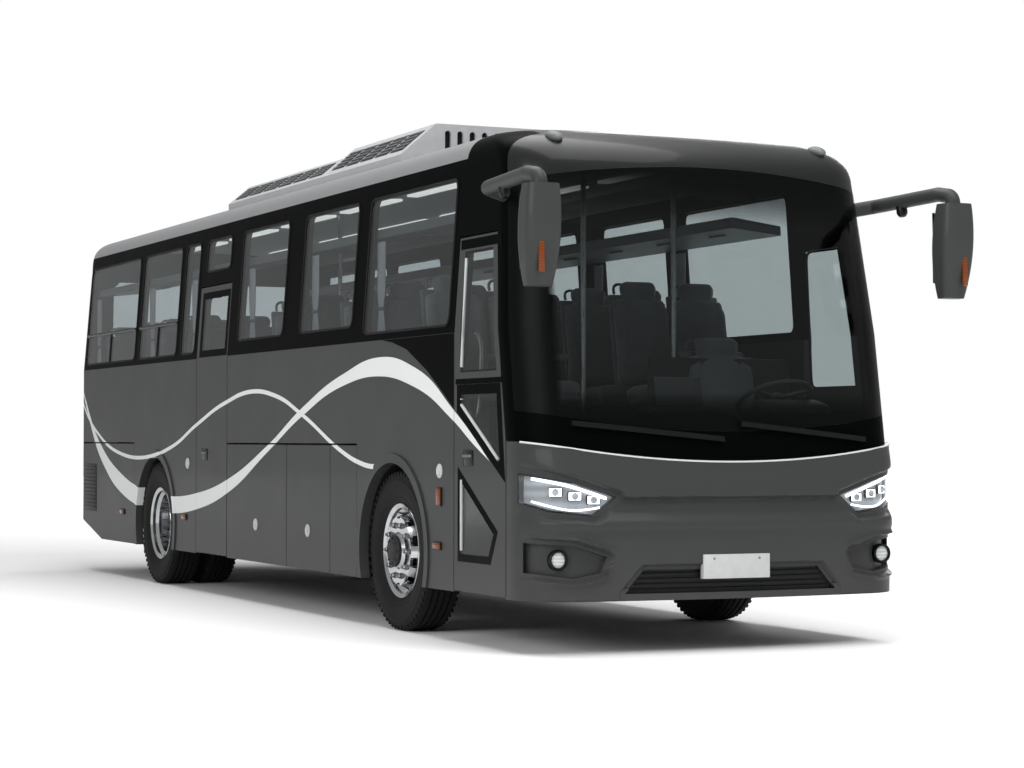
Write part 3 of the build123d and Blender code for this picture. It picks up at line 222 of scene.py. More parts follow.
# %% Wave stripes
WAVE_FROM, WAVE_TO = -5.25, 4.55
WAVE_FIRST, WAVE_LAST = WAVE_FROM + 0.02, WAVE_TO - 0.03
WAVE_TOP = 2.0
SKIN_Y = 1.2
THICK_UPPER = [(-5.25, 1.86), (-4.95, 1.52), (-4.48, 1.18), (-3.86, 0.945), (-3.1, 0.80), (-2.2, 0.752),
               (-1.4, 0.80), (-0.7, 0.907), (0.3, 1.18), (1.1, 1.46), (1.9, 1.67), (2.62, 1.764),
               (3.15, 1.69), (3.8, 1.413), (4.35, 1.10), (4.52, 0.98)]
THICK_LOWER = [(-5.25, 1.86), (-4.85, 1.36), (-4.35, 0.98), (-3.74, 0.744), (-3.1, 0.64), (-2.2, 0.61),
               (-1.45, 0.665), (-0.7, 0.80), (0.3, 1.13), (1.1, 1.40), (1.9, 1.59), (2.55, 1.64),
               (3.15, 1.565), (3.8, 1.345), (4.1, 1.205), (4.35, 1.10), (4.52, 1.02)]
THIN_LINE = [(-5.25, 1.70), (-4.55, 1.27), (-3.75, 1.095), (-3.0, 1.07), (-2.2, 1.16), (-1.48, 1.343),
             (-0.7, 1.514), (-0.05, 1.587), (0.47, 1.548), (1.04, 1.41), (1.96, 1.124), (2.2, 1.075),
             (2.42, 1.05), (2.5, 1.05)]
THIN_HALF = 0.016


def height_along(tree, length, points):
    """Node that gives the height, in metres, of a smooth line through these (x, z) points."""
    curve = add(tree, "FloatCurve", {"Value": length})
    line = curve.mapping.curves[0]
    while len(line.points) < len(points):
        line.points.new(0.5, 0.5)
    for point, (x, z) in zip(line.points, points):
        point.location = ((x - WAVE_FROM) / (WAVE_TO - WAVE_FROM), z / WAVE_TOP)
        point.handle_type = "AUTO"
    curve.mapping.update()
    return add(tree, "Math", {0: curve, 1: WAVE_TOP}, operation="MULTIPLY")


def wave_mask(tree, place):
    """Node that gives 1 on the white wave stripes and 0 elsewhere."""
    x, y, z = add(tree, "SeparateXYZ", {0: place}).outputs
    length = add(tree, "MapRange", {"Value": x, "From Min": WAVE_FROM, "From Max": WAVE_TO})
    upper, lower, line = [height_along(tree, length, p) for p in (THICK_UPPER, THICK_LOWER, THIN_LINE)]
    below = add(tree, "Math", {0: z, 1: upper}, operation="LESS_THAN")
    above = add(tree, "Math", {0: z, 1: lower}, operation="GREATER_THAN")
    thick = add(tree, "Math", {0: below, 1: above}, operation="MULTIPLY")
    on_line = add(tree, "Math", {0: z, 1: line, 2: THIN_HALF}, operation="COMPARE")
    behind = add(tree, "Math", {0: x, 1: THIN_LINE[-1][0]}, operation="LESS_THAN")
    thin = add(tree, "Math", {0: on_line, 1: behind}, operation="MULTIPLY")
    stripes = add(tree, "Math", {0: thick, 1: thin}, operation="MAXIMUM")
    reach = add(tree, "Math", {0: y}, operation="ABSOLUTE")
    outside = add(tree, "Math", {0: reach, 1: SKIN_Y}, operation="GREATER_THAN")
    between = add(tree, "Math", {0: x, 1: (WAVE_LAST + WAVE_FIRST) / 2, 2: (WAVE_LAST - WAVE_FIRST) / 2},
                  operation="COMPARE")
    allowed = add(tree, "Math", {0: outside, 1: between}, operation="MULTIPLY")
    return add(tree, "Math", {0: stripes, 1: allowed}, operation="MULTIPLY")


print("wave points", len(THICK_UPPER) + len(THICK_LOWER) + len(THIN_LINE))

# %% [markdown]
# Body paint is a two-pack acrylic enamel: a grey base under a clear coat, sprayed on steel panels.
# The coat is smooth with a faint orange peel, and road dust dulls it a little near the skirt.

# %% Paints
ORANGE_PEEL_MM = 9.0
CLOUD_MM = 400.0
DUST_TOP, DUST_FULL, DUST_SHARE = 0.75, 0.2, 0.12


def enamel(name, colour, roughness, coat, stripes=False, gloss=0.5, ior=1.5):
    """Sprayed enamel with an orange-peel skin, dusty low down, with the wave stripes if asked for."""
    material, tree, shader, place = new_material(name)
    paint = linear(colour)
    if stripes:
        wave = wave_mask(tree, place)
        paint = add(tree, "Mix", {"Factor": wave, 6: paint, 7: linear("#d9dbdb")}, **RGBA)
    height = add(tree, "SeparateXYZ", {0: place}).outputs["Z"]
    cloud = add(tree, "TexNoise", {"Vector": place, "Scale": per_metre(CLOUD_MM), "Detail": 5.0})
    low = add(tree, "MapRange", {"Value": height, "From Min": DUST_TOP, "From Max": DUST_FULL,
                                 "To Max": DUST_SHARE})
    dust = add(tree, "Math", {0: low, 1: cloud}, operation="MULTIPLY")
    dusted = add(tree, "Mix", {"Factor": dust, 6: paint, 7: linear("#8a8783")}, **RGBA)
    rough = add(tree, "MapRange", {"Value": cloud, "To Min": roughness - 0.05, "To Max": roughness + 0.07})
    peel = add(tree, "TexNoise", {"Vector": place, "Scale": per_metre(ORANGE_PEEL_MM), "Detail": 1.0})
    bump = add(tree, "Bump", {"Height": peel, "Strength": 0.03, "Distance": 0.001})
    put(tree, shader, {"Base Color": dusted, "Roughness": rough, "Normal": bump, "Coat Weight": coat,
                       "Coat Roughness": 0.06, "Specular IOR Level": gloss, "IOR": ior})
    return material


grey_enamel = enamel("enamel_graphite_grey", "#383939", 0.42, 0.08, stripes=True, gloss=0.3, ior=1.25)
pale_enamel = enamel("enamel_light_grey", "#77797b", 0.4, 0.4)
# Painted highlight: this pale silver grey is used only for the strip along the fascia's top edge, where it
# stands for the light caught by that edge.
highlight_enamel = enamel("enamel_painted_highlight", "#c2c4c6", 0.35, 0.5)
dark_enamel = enamel("enamel_dark_grey", "#191a1a", 0.38, 0.15, gloss=0.35, ior=1.3)
band_enamel = enamel("enamel_gloss_black", "#050606", 0.34, 0.0, gloss=0.08, ior=1.13)
print("paints", grey_enamel.name, pale_enamel.name, dark_enamel.name, band_enamel.name)

# %% [markdown]
# Glass is a thin pane: light goes nearly straight through, so a Transparent shader with a grey tint stands
# for what passes and a Glossy one for the reflection. The share of each follows the angle by Schlick's rule.
# A Fresnel node would turn the pane's inner face into a full mirror, because nothing here bends the ray.

# %% Glass
SCHLICK_POWER = 5.0
BORDER_SIDES = {"From Min": 1.02, "From Max": 1.07}
BORDER_TOP = {"From Min": 2.50, "From Max": 2.80, "To Max": 0.97}
BORDER_FOOT = {"From Min": 1.50, "From Max": 1.36}


def pane(name, tint, head_on=0.015, grazing=0.6):
    """See-through sheet with a tint and a reflection that grows from head on to grazing."""
    material, tree, shader, place = new_material(name)
    tree.nodes.remove(shader)
    through = add(tree, "BsdfTransparent", {"Color": linear(tint)})
    mirror = add(tree, "BsdfGlossy", {"Color": WHITE, "Roughness": 0.01})
    facing = add(tree, "LayerWeight", {"Blend": 0.5}).outputs["Facing"]
    rise = add(tree, "Math", {0: facing, 1: SCHLICK_POWER}, operation="POWER")
    share = add(tree, "MapRange", {"Value": rise, "To Min": head_on, "To Max": grazing})
    both = add(tree, "MixShader", {0: share, 1: through, 2: mirror})
    put(tree, tree.nodes["Material Output"], {"Surface": both})
    return material


def windscreen_glass():
    """Laminated glass with a black printed border, a shade band at the top and a dark foot."""
    material = pane("laminated_glass_printed", "#dde1e1")
    tree = material.node_tree
    place = tree.nodes["Texture Coordinate"].outputs["Object"]
    x, y, z = add(tree, "SeparateXYZ", {0: place}).outputs
    reach = add(tree, "Math", {0: y}, operation="ABSOLUTE")
    sides = add(tree, "MapRange", {"Value": reach, **BORDER_SIDES})
    top = add(tree, "MapRange", {"Value": z, **BORDER_TOP})
    foot = add(tree, "MapRange", {"Value": z, **BORDER_FOOT})
    edge = add(tree, "Math", {0: sides, 1: top}, operation="MAXIMUM")
    border = add(tree, "Math", {0: edge, 1: foot}, operation="MAXIMUM")
    ink = add(tree, "BsdfPrincipled", {"Base Color": linear("#070808"), "Roughness": 0.35,
                                       "Specular IOR Level": 0.05})
    printed = add(tree, "MixShader", {0: border, 1: tree.nodes["Mix Shader"], 2: ink})
    put(tree, tree.nodes["Material Output"], {"Surface": printed})
    return material


side_glass = pane("safety_glass_grey_tint", "#dfe3e4")
screen_glass = windscreen_glass()
door_glass = pane("safety_glass_clear", "#e2e5e5")
lamp_glass = pane("polycarbonate_clear", "#eef1f2", 0.03, 0.8)
print("glass", side_glass.name, screen_glass.name, door_glass.name, lamp_glass.name)

# %% [markdown]
# Plastic trim is injection-moulded: one colour through and through, a fine leather grain from the mould,
# and scuffs that change its gloss and its tone a little.

# %% Plastics
SCUFF_MM = 60.0


def moulded(name, colour, roughness, grain_mm=1.5, strength=0.1, gloss=0.4):
    """Injection-moulded plastic: plain colour, a fine leather grain and a few scuffs in the gloss."""
    material, tree, shader, place = new_material(name)
    grain = add(tree, "TexVoronoi", {"Vector": place, "Scale": per_metre(grain_mm)})
    scuff = add(tree, "TexNoise", {"Vector": place, "Scale": per_metre(SCUFF_MM), "Detail": 4.0})
    shade = add(tree, "MapRange", {"Value": scuff, "To Min": 0.85, "To Max": 1.1})
    tone = add(tree, "Mix", {"Factor": 1.0, 6: linear(colour), 7: shade}, **TIMES)
    rough = add(tree, "MapRange", {"Value": scuff, "To Min": roughness - 0.08, "To Max": roughness + 0.1})
    bump = add(tree, "Bump", {"Height": grain, "Strength": strength, "Distance": 0.0005})
    put(tree, shader, {"Base Color": tone, "Roughness": rough, "Normal": bump, "Specular IOR Level": gloss})
    return material


black_plastic = moulded("polypropylene_black", "#1b1c1c", 0.55)
satin_black = moulded("abs_satin_black", "#0c0d0d", 0.35, gloss=0.2)
grey_plastic = moulded("abs_mid_grey", "#5d5f61", 0.5)
pale_plastic = moulded("abs_light_grey", "#b9bbbb", 0.5)
dash_plastic = moulded("abs_dash_charcoal", "#2a2b2c", 0.6, 2.5, 0.2)
seal_rubber = moulded("epdm_seal_black", "#0e0e0e", 0.7, 4.0, 0.1, 0.2)
ac_shell = moulded("glass_fibre_gelcoat_grey", "#a7a9ab", 0.45, 6.0, 0.05)
print("plastics ready")

# %% [markdown]
# A lit lamp is a lens with a glow in it. An amber or red lens is moulded acrylic with a prism pattern,
# so its bump is a fine wave, and its colour shows as plain pigment when the lamp is off.

# %% Lamp lenses
WAVE_TURN = 6.3


def lens(name, colour, prism_mm=8.0, glow=0.0, bands=()):
    """Acrylic lens with moulded prisms, lit by glow. Bands of other colours are (middle, half, colour)."""
    material, tree, shader, place = new_material(name)
    pigment = linear(colour)
    height = add(tree, "SeparateXYZ", {0: place}).outputs["Z"]
    for middle, half, other in bands:
        inside = add(tree, "Math", {0: height, 1: middle, 2: half}, operation="COMPARE")
        pigment = add(tree, "Mix", {"Factor": inside, 6: pigment, 7: linear(other)}, **RGBA)
    prisms = add(tree, "TexWave", {"Vector": place, "Scale": per_metre(prism_mm) / WAVE_TURN},
                 bands_direction="Z").outputs["Fac"]
    shade = add(tree, "MapRange", {"Value": prisms, "To Min": 0.75, "To Max": 1.1})
    tone = add(tree, "Mix", {"Factor": 1.0, 6: pigment, 7: shade}, **TIMES)
    bump = add(tree, "Bump", {"Height": prisms, "Strength": 0.3, "Distance": 0.002})
    put(tree, shader, {"Base Color": tone, "Normal": bump, "Roughness": 0.15, "Coat Weight": 0.15,
                       "Specular IOR Level": 0.25, "Emission Color": linear(colour),
                       "Emission Strength": glow})
    return material


amber_lens = lens("acrylic_amber", "#6e340a", 8.0, 0.05)
red_lens = lens("acrylic_red", "#6d0d0d", 10.0, 0.06)
tail_lens = lens("acrylic_tail_cluster", "#6d0d0d", 10.0, 0.02,
                 [(1.40, 0.07, "#8a420c"), (1.25, 0.06, "#b9bcbd")])
white_lens = lens("acrylic_clear_ribbed", "#c9cccd", 10.0)
lit_strip = lens("led_strip_lit", "#f6f8ff", 6.0, 2.4)
# Painted light: this finish glows faintly to stand for the lamp's light and the reflections in the chromed
# headlamp tray, which is not a lamp.
tray_painted_glow = lens("abs_chromed_painted_glow", "#9a9ea2", 30.0, 0.12)
strip_glow = lens("ceiling_light_strip", "#f4f3ee", 40.0, 1.2)
print("lenses ready")

# %% [markdown]
# Metals: polished aluminium for the wheels, plain painted steel for the chassis, brushed stainless for the
# rails. Fine streaks in the roughness stand for the turning and brushing marks.

# %% Metals and rubber
DIRT_MM = 90.0


def metal(name, colour, roughness, streak_mm, stretch=(1.0, 1.0, 1.0), metallic=1.0, spread=0.1):
    """Bare or painted metal with streaks in its roughness and a little dirt in its colour."""
    material, tree, shader, place = new_material(name)
    drawn = add(tree, "Mapping", {"Vector": place, "Scale": stretch})
    streak = add(tree, "TexNoise", {"Vector": drawn, "Scale": per_metre(streak_mm), "Detail": 4.0})
    rough = add(tree, "MapRange", {"Value": streak, "To Min": roughness - spread,
                                   "To Max": roughness + spread})
    dirt = add(tree, "TexNoise", {"Vector": place, "Scale": per_metre(DIRT_MM), "Detail": 6.0})
    shade = add(tree, "MapRange", {"Value": dirt, "From Min": 0.35, "To Min": 0.72})
    tone = add(tree, "Mix", {"Factor": 1.0, 6: linear(colour), 7: shade}, **TIMES)
    bump = add(tree, "Bump", {"Height": streak, "Strength": 0.05, "Distance": 0.0005})
    put(tree, shader, {"Base Color": tone, "Roughness": rough, "Normal": bump, "Metallic": metallic})
    return material


def tyre_rubber_finish():
    """Vulcanised tyre rubber: nearly black, dull, greyed with dust, with a fine rough skin."""
    material, tree, shader, place = new_material("rubber_tyre_black")
    dust = add(tree, "TexNoise", {"Vector": place, "Scale": per_metre(35.0), "Detail": 8.0})
    shade = add(tree, "Mix", {"Factor": dust, 6: linear("#060606"), 7: linear("#141413")}, **RGBA)
    fine = add(tree, "TexNoise", {"Vector": place, "Scale": per_metre(3.0), "Detail": 3.0})
    bump = add(tree, "Bump", {"Height": fine, "Strength": 0.15, "Distance": 0.001})
    put(tree, shader, {"Base Color": shade, "Normal": bump, "Roughness": 0.75, "Specular IOR Level": 0.25})
    return material


polished = metal("aluminium_polished", "#d3d5d7", 0.16, 40.0, spread=0.05)
bolt_steel = metal("steel_zinc_plated", "#8f9192", 0.35, 12.0)
chassis_black = metal("steel_chassis_paint", "#1c1d1e", 0.5, 30.0, metallic=0.0)
cast_iron = metal("iron_cast", "#3a3a3a", 0.6, 6.0, metallic=0.7)
rail_steel = metal("stainless_brushed", "#a8aaab", 0.3, 3.0, (1.0, 1.0, 0.05))
mirror_silver = metal("glass_silvered", "#e2e4e6", 0.05, 60.0, spread=0.02)
tyre_rubber = tyre_rubber_finish()
print("metals and rubber ready")

# %% [markdown]
# Moquette is the woven pile cloth of bus seats. Two crossed waves give the weave, drawn coarser than the
# real thread so that it shows, and a soft noise gives the worn pile. Curtain cloth is a plainer weave.

# %% Cloths and floor cover
DRIFT_MM = 120.0


def woven(name, colour, second, thread_mm, sheen):
    """Cloth with warp and weft waves, a slow colour drift and a sheen from its pile."""
    material, tree, shader, place = new_material(name)
    thread = {"Vector": place, "Scale": per_metre(thread_mm) / WAVE_TURN, "Distortion": 0.6}
    warp = add(tree, "TexWave", thread, bands_direction="Y").outputs["Fac"]
    weft = add(tree, "TexWave", thread, bands_direction="Z").outputs["Fac"]
    cross = add(tree, "Math", {0: warp, 1: weft}, operation="MULTIPLY")
    drift = add(tree, "TexNoise", {"Vector": place, "Scale": per_metre(DRIFT_MM), "Detail": 3.0})
    mixed = add(tree, "Mix", {"Factor": drift, 6: linear(colour), 7: linear(second)}, **RGBA)
    shade = add(tree, "MapRange", {"Value": cross, "To Min": 0.8, "To Max": 1.1})
    tone = add(tree, "Mix", {"Factor": 1.0, 6: mixed, 7: shade}, **TIMES)
    bump = add(tree, "Bump", {"Height": cross, "Strength": 0.3, "Distance": 0.001})
    put(tree, shader, {"Base Color": tone, "Normal": bump, "Roughness": 0.9, "Sheen Weight": sheen})
    return material


def floor_cover_finish():
    """Safety flooring: grey vinyl with bright and dark flecks and a gritty skin."""
    material, tree, shader, place = new_material("vinyl_safety_floor")
    fleck = add(tree, "TexVoronoi", {"Vector": place, "Scale": per_metre(9.0)})
    tone = add(tree, "MapRange", {"Value": fleck, "From Max": 0.6})
    shade = add(tree, "Mix", {"Factor": tone, 6: linear("#6a6c6e"), 7: linear("#3b3c3e")}, **RGBA)
    grit = add(tree, "TexNoise", {"Vector": place, "Scale": per_metre(2.0)})
    bump = add(tree, "Bump", {"Height": grit, "Strength": 0.2, "Distance": 0.0005})
    put(tree, shader, {"Base Color": shade, "Normal": bump, "Roughness": 0.7})
    return material


seat_cloth = woven("moquette_grey", "#6d6f71", "#525456", 6.0, 0.35)
curtain_cloth = woven("curtain_weave_silver", "#b9bbbd", "#a6a8aa", 4.0, 0.2)
ceiling_cloth = woven("ceiling_felt_pale", "#c4c6c6", "#b7b9b9", 8.0, 0.1)
floor_cover = floor_cover_finish()
print("cloths ready")

# %% [markdown]
# The solids whose shape is right stay in view, and only get their finishes here. Those that a better piece
# replaces further down get one as well. The list pairs each finish with the solids that carry it.

# %% Finishes of the solids
FINISHES = {
    grey_enamel: ["lower_panels", "front_fascia", "front_door", "exit_door", "luggage_door_right_rear",
                  "luggage_door_right_front", "luggage_door_left_rear", "luggage_door_left_front",
                  "service_door_right", "engine_door_right", "engine_lid", "rear_wall", "mirrors"],
    pale_enamel: ["roof_coves"],
    dark_enamel: ["front_roof_cap", "roof_panel"],
    band_enamel: ["right_window_band", "left_window_band", "wiper_panel", "a_pillars"],
    side_glass: ["windows"],
    screen_glass: ["windscreen"],
    door_glass: ["front_door_glass", "exit_door_glass"],
    black_plastic: ["lower_grille", "wheel_liners"],
    satin_black: ["wipers"],
    lamp_glass: ["headlamps"],
    white_lens: ["small_lamps"],
    tail_lens: ["rear_lamps"],
    tyre_rubber: ["front_tyre_left", "front_tyre_right", "rear_tyres_left", "rear_tyres_right"],
    polished: ["front_wheel_left", "front_wheel_right", "rear_wheels_left", "rear_wheels_right"],
    chassis_black: ["chassis_frame", "luggage_bay", "front_door_arms", "exit_door_arms"],
    cast_iron: ["front_axle", "rear_axle", "knuckle_left", "knuckle_right", "engine"],
    seal_rubber: ["suspension"],
    floor_cover: ["floor_deck", "stairs"],
    seat_cloth: ["seats"],
    curtain_cloth: ["curtains"],
    dash_plastic: ["dashboard", "steering_wheel"],
    grey_plastic: ["luggage_racks"],
    rail_steel: ["handrails"],
    ac_shell: ["roof_air_conditioner"],
}
for material, names in FINISHES.items():
    for name in names:
        mesh = nodes[name].data
        mesh.materials.clear()
        mesh.materials.append(material)
print("solids without a finish", set(nodes) - {name for names in FINISHES.values() for name in names})

# %% [markdown]
# A few helpers save repetition: one puts a shaped mesh into the scene and lets it ride on a body, and the
# others add a bevelled block or a turned shape to a mesh that is being built, or push faces out of it.

# %% Modelling helpers
BOTH_SIDES = (-1.0, 1.0)
HANDS = {"right": -1.0, "left": 1.0}
AXLE = (0, 1, 0)
FORWARD = Vector((1, 0, 0))
UP = (0, 0, 1)
TINY = 0.0001


def piece(name, bm, material, body="body", crease=35.0):
    """The finished mesh as an object that rides on a body, smooth but for its sharp edges."""
    bmesh.ops.recalc_face_normals(bm, faces=bm.faces)
    mesh = to_mesh(name, bm)
    for polygon in mesh.polygons:
        polygon.use_smooth = True
    mesh.set_sharp_from_angle(angle=math.radians(crease))
    mesh.materials.append(material)
    item = show(name, mesh)
    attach(item, body)
    return item


def tip(degrees):
    """Turn about the Y axis."""
    return Matrix.Rotation(math.radians(degrees), 3, "Y")


def block(bm, low, high, bevel=0.0, turn=None, segments=2):
    """Adds a box between two corners, with rounded edges, turned about its middle if asked."""
    low, high = Vector(low), Vector(high)
    place = Matrix.Translation((low + high) / 2) @ (turn.to_4x4() if turn else Matrix.Identity(4))
    matrix = place @ Matrix.Diagonal((high - low).to_4d())
    verts = bmesh.ops.create_cube(bm, size=1.0, matrix=matrix)["verts"]
    if bevel:
        edges = list({edge for vert in verts for edge in vert.link_edges})
        bmesh.ops.bevel(bm, geom=edges, offset=bevel, affect="EDGES", segments=segments, profile=0.5,
                        material=-1)


def brick(bm, middle, half, bevel=0.0, turn=None):
    """Adds a box about its middle, reaching half its size each way."""
    middle, half = Vector(middle), Vector(half)
    block(bm, middle - half, middle + half, bevel, turn)


def turned(bm, profile, centre, axis, steps=48):
    """Adds a shape turned about an axis: profile points are (radius, distance along the axis)."""
    axis = Vector(axis).normalized()
    out = axis.orthogonal().normalized()
    centre = Vector(centre)
    verts = [bm.verts.new(centre + out * r + axis * d) for r, d in profile]
    edges = [bm.edges.new(pair) for pair in zip(verts, verts[1:])]
    bmesh.ops.spin(bm, geom=verts + edges, cent=centre, axis=axis, angle=2 * math.pi, steps=steps,
                   use_merge=True, use_duplicate=False)


def push_out(bm, faces, push):
    """Extrudes faces along a vector."""
    grown = bmesh.ops.extrude_face_region(bm, geom=faces)["geom"]
    moved = [item for item in grown if isinstance(item, bmesh.types.BMVert)]
    bmesh.ops.translate(bm, verts=moved, vec=push)


print("helpers for blocks and turned shapes ready")

# %% [markdown]
# A round bar comes from a curve with a bevel. Many fittings take their places from the solids: one node may
# hold several separate solids, and each of them has its own box. The side wall leans in above the sill.

# %% Bars, boxes and the side wall
BODY_HALF = 1.25
SILL_Z = 1.875
TUMBLE = math.tan(math.radians(4.07))


def pipe(bm, points, radius, closed=False, smooth=True, resolution=3):
    """Adds a round bar along points: a curve with a bevel, made a mesh."""
    curve = bpy.data.curves.new("bar", "CURVE")
    curve.dimensions = "3D"
    curve.bevel_depth = radius
    curve.bevel_resolution = resolution
    curve.use_fill_caps = not closed
    spline = curve.splines.new("NURBS" if smooth else "POLY")
    spline.points.add(len(points) - 1)
    for control, point in zip(spline.points, points):
        control.co = (*point, 1.0)
    spline.use_cyclic_u = closed
    if smooth:
        spline.order_u = 3
        spline.use_endpoint_u = not closed
        spline.resolution_u = 6
    holder = show("bar", curve)
    mesh = bpy.data.meshes.new_from_object(holder)
    bm.from_mesh(mesh)
    bpy.data.objects.remove(holder)
    bpy.data.curves.remove(curve)
    bpy.data.meshes.remove(mesh)


@cache
def solid_boxes(node):
    """Lowest and highest corner of every separate solid in a node, read from a merged copy of its mesh."""
    bm = bmesh.new()
    bm.from_mesh(nodes[node].data)
    bmesh.ops.remove_doubles(bm, verts=bm.verts, dist=1e-6)
    boxes = []
    left = set(bm.verts)
    while left:
        group = [left.pop()]
        for vert in group:
            near = {edge.other_vert(vert) for edge in vert.link_edges} & left
            left -= near
            group.extend(near)
        points = [vert.co for vert in group]
        boxes.append((Vector([min(p[i] for p in points) for i in range(3)]),
                      Vector([max(p[i] for p in points) for i in range(3)])))
    bm.free()
    return sorted(boxes, key=lambda pair: pair[0][:])


def side_y(z):
    """Half width of the outer skin at a height: upright below the sill, leaning in above it."""
    return BODY_HALF - max(0.0, z - SILL_Z) * TUMBLE


print("window panes", len(solid_boxes("windows")))

# %% [markdown]
# A bus tyre is moulded rubber: straight tread grooves round it, lettering-free side walls with two ribs,
# and shoulder bars. The section is drawn once and spun about the axle, then small bars stud the shoulders.

# %% Tyres
TYRE_R = 0.512
TREAD_HALF = 0.094
BEAD_R, BEAD_Y = 0.290, 0.088
GROOVE_DEPTH = 0.014
GROOVE_HALF = 0.006
GROOVES = (0.062, 0.021, -0.021, -0.062)
WALL = [(BEAD_R, BEAD_Y), (BEAD_R + 0.020, 0.097), (0.330, 0.108), (0.345, 0.1135), (0.350, 0.1115),
        (0.372, 0.1225), (0.408, 0.1265), (0.440, 0.1255), (0.452, 0.1268), (0.458, 0.1235), (0.478, 0.1205),
        (0.498, 0.114), (0.508, 0.105)]
SHOULDER_BARS = 60
BAR_R, BAR_Y = 0.4945, 0.1165
BAR_LOW, BAR_HIGH = Vector((-0.011, -0.006, -0.011)), Vector((0.011, 0.005, 0.011))


def tyre_section():
    """Outer outline of the tyre, from one bead over the tread to the other, as (radius, across)."""
    tread = [(TYRE_R, TREAD_HALF)]
    for groove in GROOVES:
        tread += [(TYRE_R, groove + GROOVE_HALF), (TYRE_R - GROOVE_DEPTH, groove + GROOVE_HALF * 0.6),
                  (TYRE_R - GROOVE_DEPTH, groove - GROOVE_HALF * 0.6), (TYRE_R, groove - GROOVE_HALF)]
    return WALL + tread + [(TYRE_R, -TREAD_HALF)] + [(r, -y) for r, y in WALL[::-1]]


def tyre(bm, centre):
    """One tyre with its tread, turned about an axle that lies across the bus."""
    turned(bm, tyre_section(), centre, AXLE, steps=96)
    turned(bm, [(BEAD_R, BEAD_Y), (BEAD_R + 0.006, 0.0), (BEAD_R, -BEAD_Y)], centre, AXLE, steps=96)
    bmesh.ops.remove_doubles(bm, verts=bm.verts, dist=1e-5)
    for side in BOTH_SIDES:
        for k in range(SHOULDER_BARS):
            spoke = tip(360.0 * k / SHOULDER_BARS)
            middle = centre + spoke @ Vector((0, 0, BAR_R)) + Vector((0, side * BAR_Y, 0))
            block(bm, middle + BAR_LOW, middle + BAR_HIGH, turn=spoke)


TYRE_NODES = {"front_tyre_left": "front_wheel_left", "front_tyre_right": "front_wheel_right",
              "rear_tyres_left": "rear_wheel_left", "rear_tyres_right": "rear_wheel_right"}
for node, body in TYRE_NODES.items():
    bm = bmesh.new()
    for low, high in solid_boxes(node):
        tyre(bm, (low + high) / 2)
    rubber = piece(node + "_tread", bm, tyre_rubber, body, 25.0)
    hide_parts(node)
print("tyres", list(TYRE_NODES))

# %% [markdown]
# Each wheel carries ten nuts on a bolt circle, a raised hub cover and a valve. The front hub stands proud,
# the rear one sits deep in its dish, so the same fittings are placed at different depths.

# %% Wheel nuts and hub covers
NUTS = 10
NUT_CIRCLE = 0.168
NUT_PARTS = [(24, [(0.021, -0.002), (0.021, 0.004), (0.018, 0.006)]),
             (6, [(0.0165, 0.0), (0.0165, 0.020), (0.013, 0.024), (TINY, 0.024)]),
             (12, [(0.010, 0.022), (0.010, 0.034), (0.007, 0.037), (TINY, 0.037)])]
HUB_COVER = [(0.102, -0.010), (0.102, 0.006), (0.094, 0.012), (0.062, 0.014), (0.056, 0.020), (0.030, 0.022),
             (TINY, 0.022)]
HUB_BOLTS = 8
HUB_BOLT_CIRCLE = 0.080
HUB_BOLT = [(0.008, 0.010), (0.008, 0.019), (TINY, 0.021)]
VALVE_R = 0.246
VALVE = [(0, 0), (0.02, 0), (0.04, -0.01), (0.07, 0)]
WHEELS = {"front_wheel": ("front_tyre", 0.118, 0.148), "rear_wheel": ("rear_tyres", -0.142, -0.010)}


def around(centre, radius, count, shift=0.0):
    """Evenly spaced places on a circle about an axle that lies across the bus."""
    angles = [2 * math.pi * (k + shift) / count for k in range(count)]
    return [centre + Vector((math.sin(angle), 0, math.cos(angle))) * radius for angle in angles]


def wheel_fittings(body, tyre_node, face, hub_out):
    """Nuts, hub cover and valve on the outer side of one wheel."""
    low, high = max(solid_boxes(tyre_node), key=lambda pair: abs(pair[0].y + pair[1].y))
    centre = (low + high) / 2
    out = Vector((0, math.copysign(1.0, centre.y), 0))
    bm = bmesh.new()
    for spot in around(centre + out * face, NUT_CIRCLE, NUTS, 0.5):
        for steps, profile in NUT_PARTS:
            turned(bm, profile, spot, out, steps)
    piece(body + "_nuts", bm, bolt_steel, body)
    bm = bmesh.new()
    hub = centre + out * hub_out
    turned(bm, HUB_COVER, hub, out)
    for spot in around(hub, HUB_BOLT_CIRCLE, HUB_BOLTS):
        turned(bm, HUB_BOLT, spot, out, steps=6)
    piece(body + "_hub_cover", bm, cast_iron, body)
    bm = bmesh.new()
    root = centre + Vector((0, 0, VALVE_R)) + out * (face * 0.4)
    pipe(bm, [root + out * reach + Vector((0, 0, rise)) for reach, rise in VALVE], 0.006)
    piece(body + "_valve", bm, bolt_steel, body)


for hand in ("left", "right"):
    for wheel, (tyre_name, face, hub_out) in WHEELS.items():
        wheel_fittings(f"{wheel}_{hand}", f"{tyre_name}_{hand}", face, hub_out)
print("wheel fittings on four wheels")

# %% [markdown]
# The nose is bowed, with round corners. Lamps and trim sit on that curve, so a small function gives the
# skin's place and heading at any distance from the middle.

# %% Places on the nose
NOSE_X = 5.03
BOW_R = 7.2
CORNER_R = 0.33
CORNER_Y = BODY_HALF - CORNER_R
CORNER_X = NOSE_X - BOW_R + math.sqrt((BOW_R - CORNER_R) ** 2 - CORNER_Y ** 2)
BOW_END_Y = CORNER_Y * BOW_R / (BOW_R - CORNER_R)
HEADING_STEP = 0.004


def nose(y, z, sink=0.0):
    """Place on the nose below the windscreen, sunk below the skin by that much."""
    reach = abs(y)
    if reach <= BOW_END_Y:
        x = NOSE_X - BOW_R + math.sqrt((BOW_R - sink) ** 2 - reach ** 2)
    else:
        x = CORNER_X + math.sqrt(max(0.0, (CORNER_R - sink) ** 2 - (reach - CORNER_Y) ** 2))
    return Vector((x, y, z))


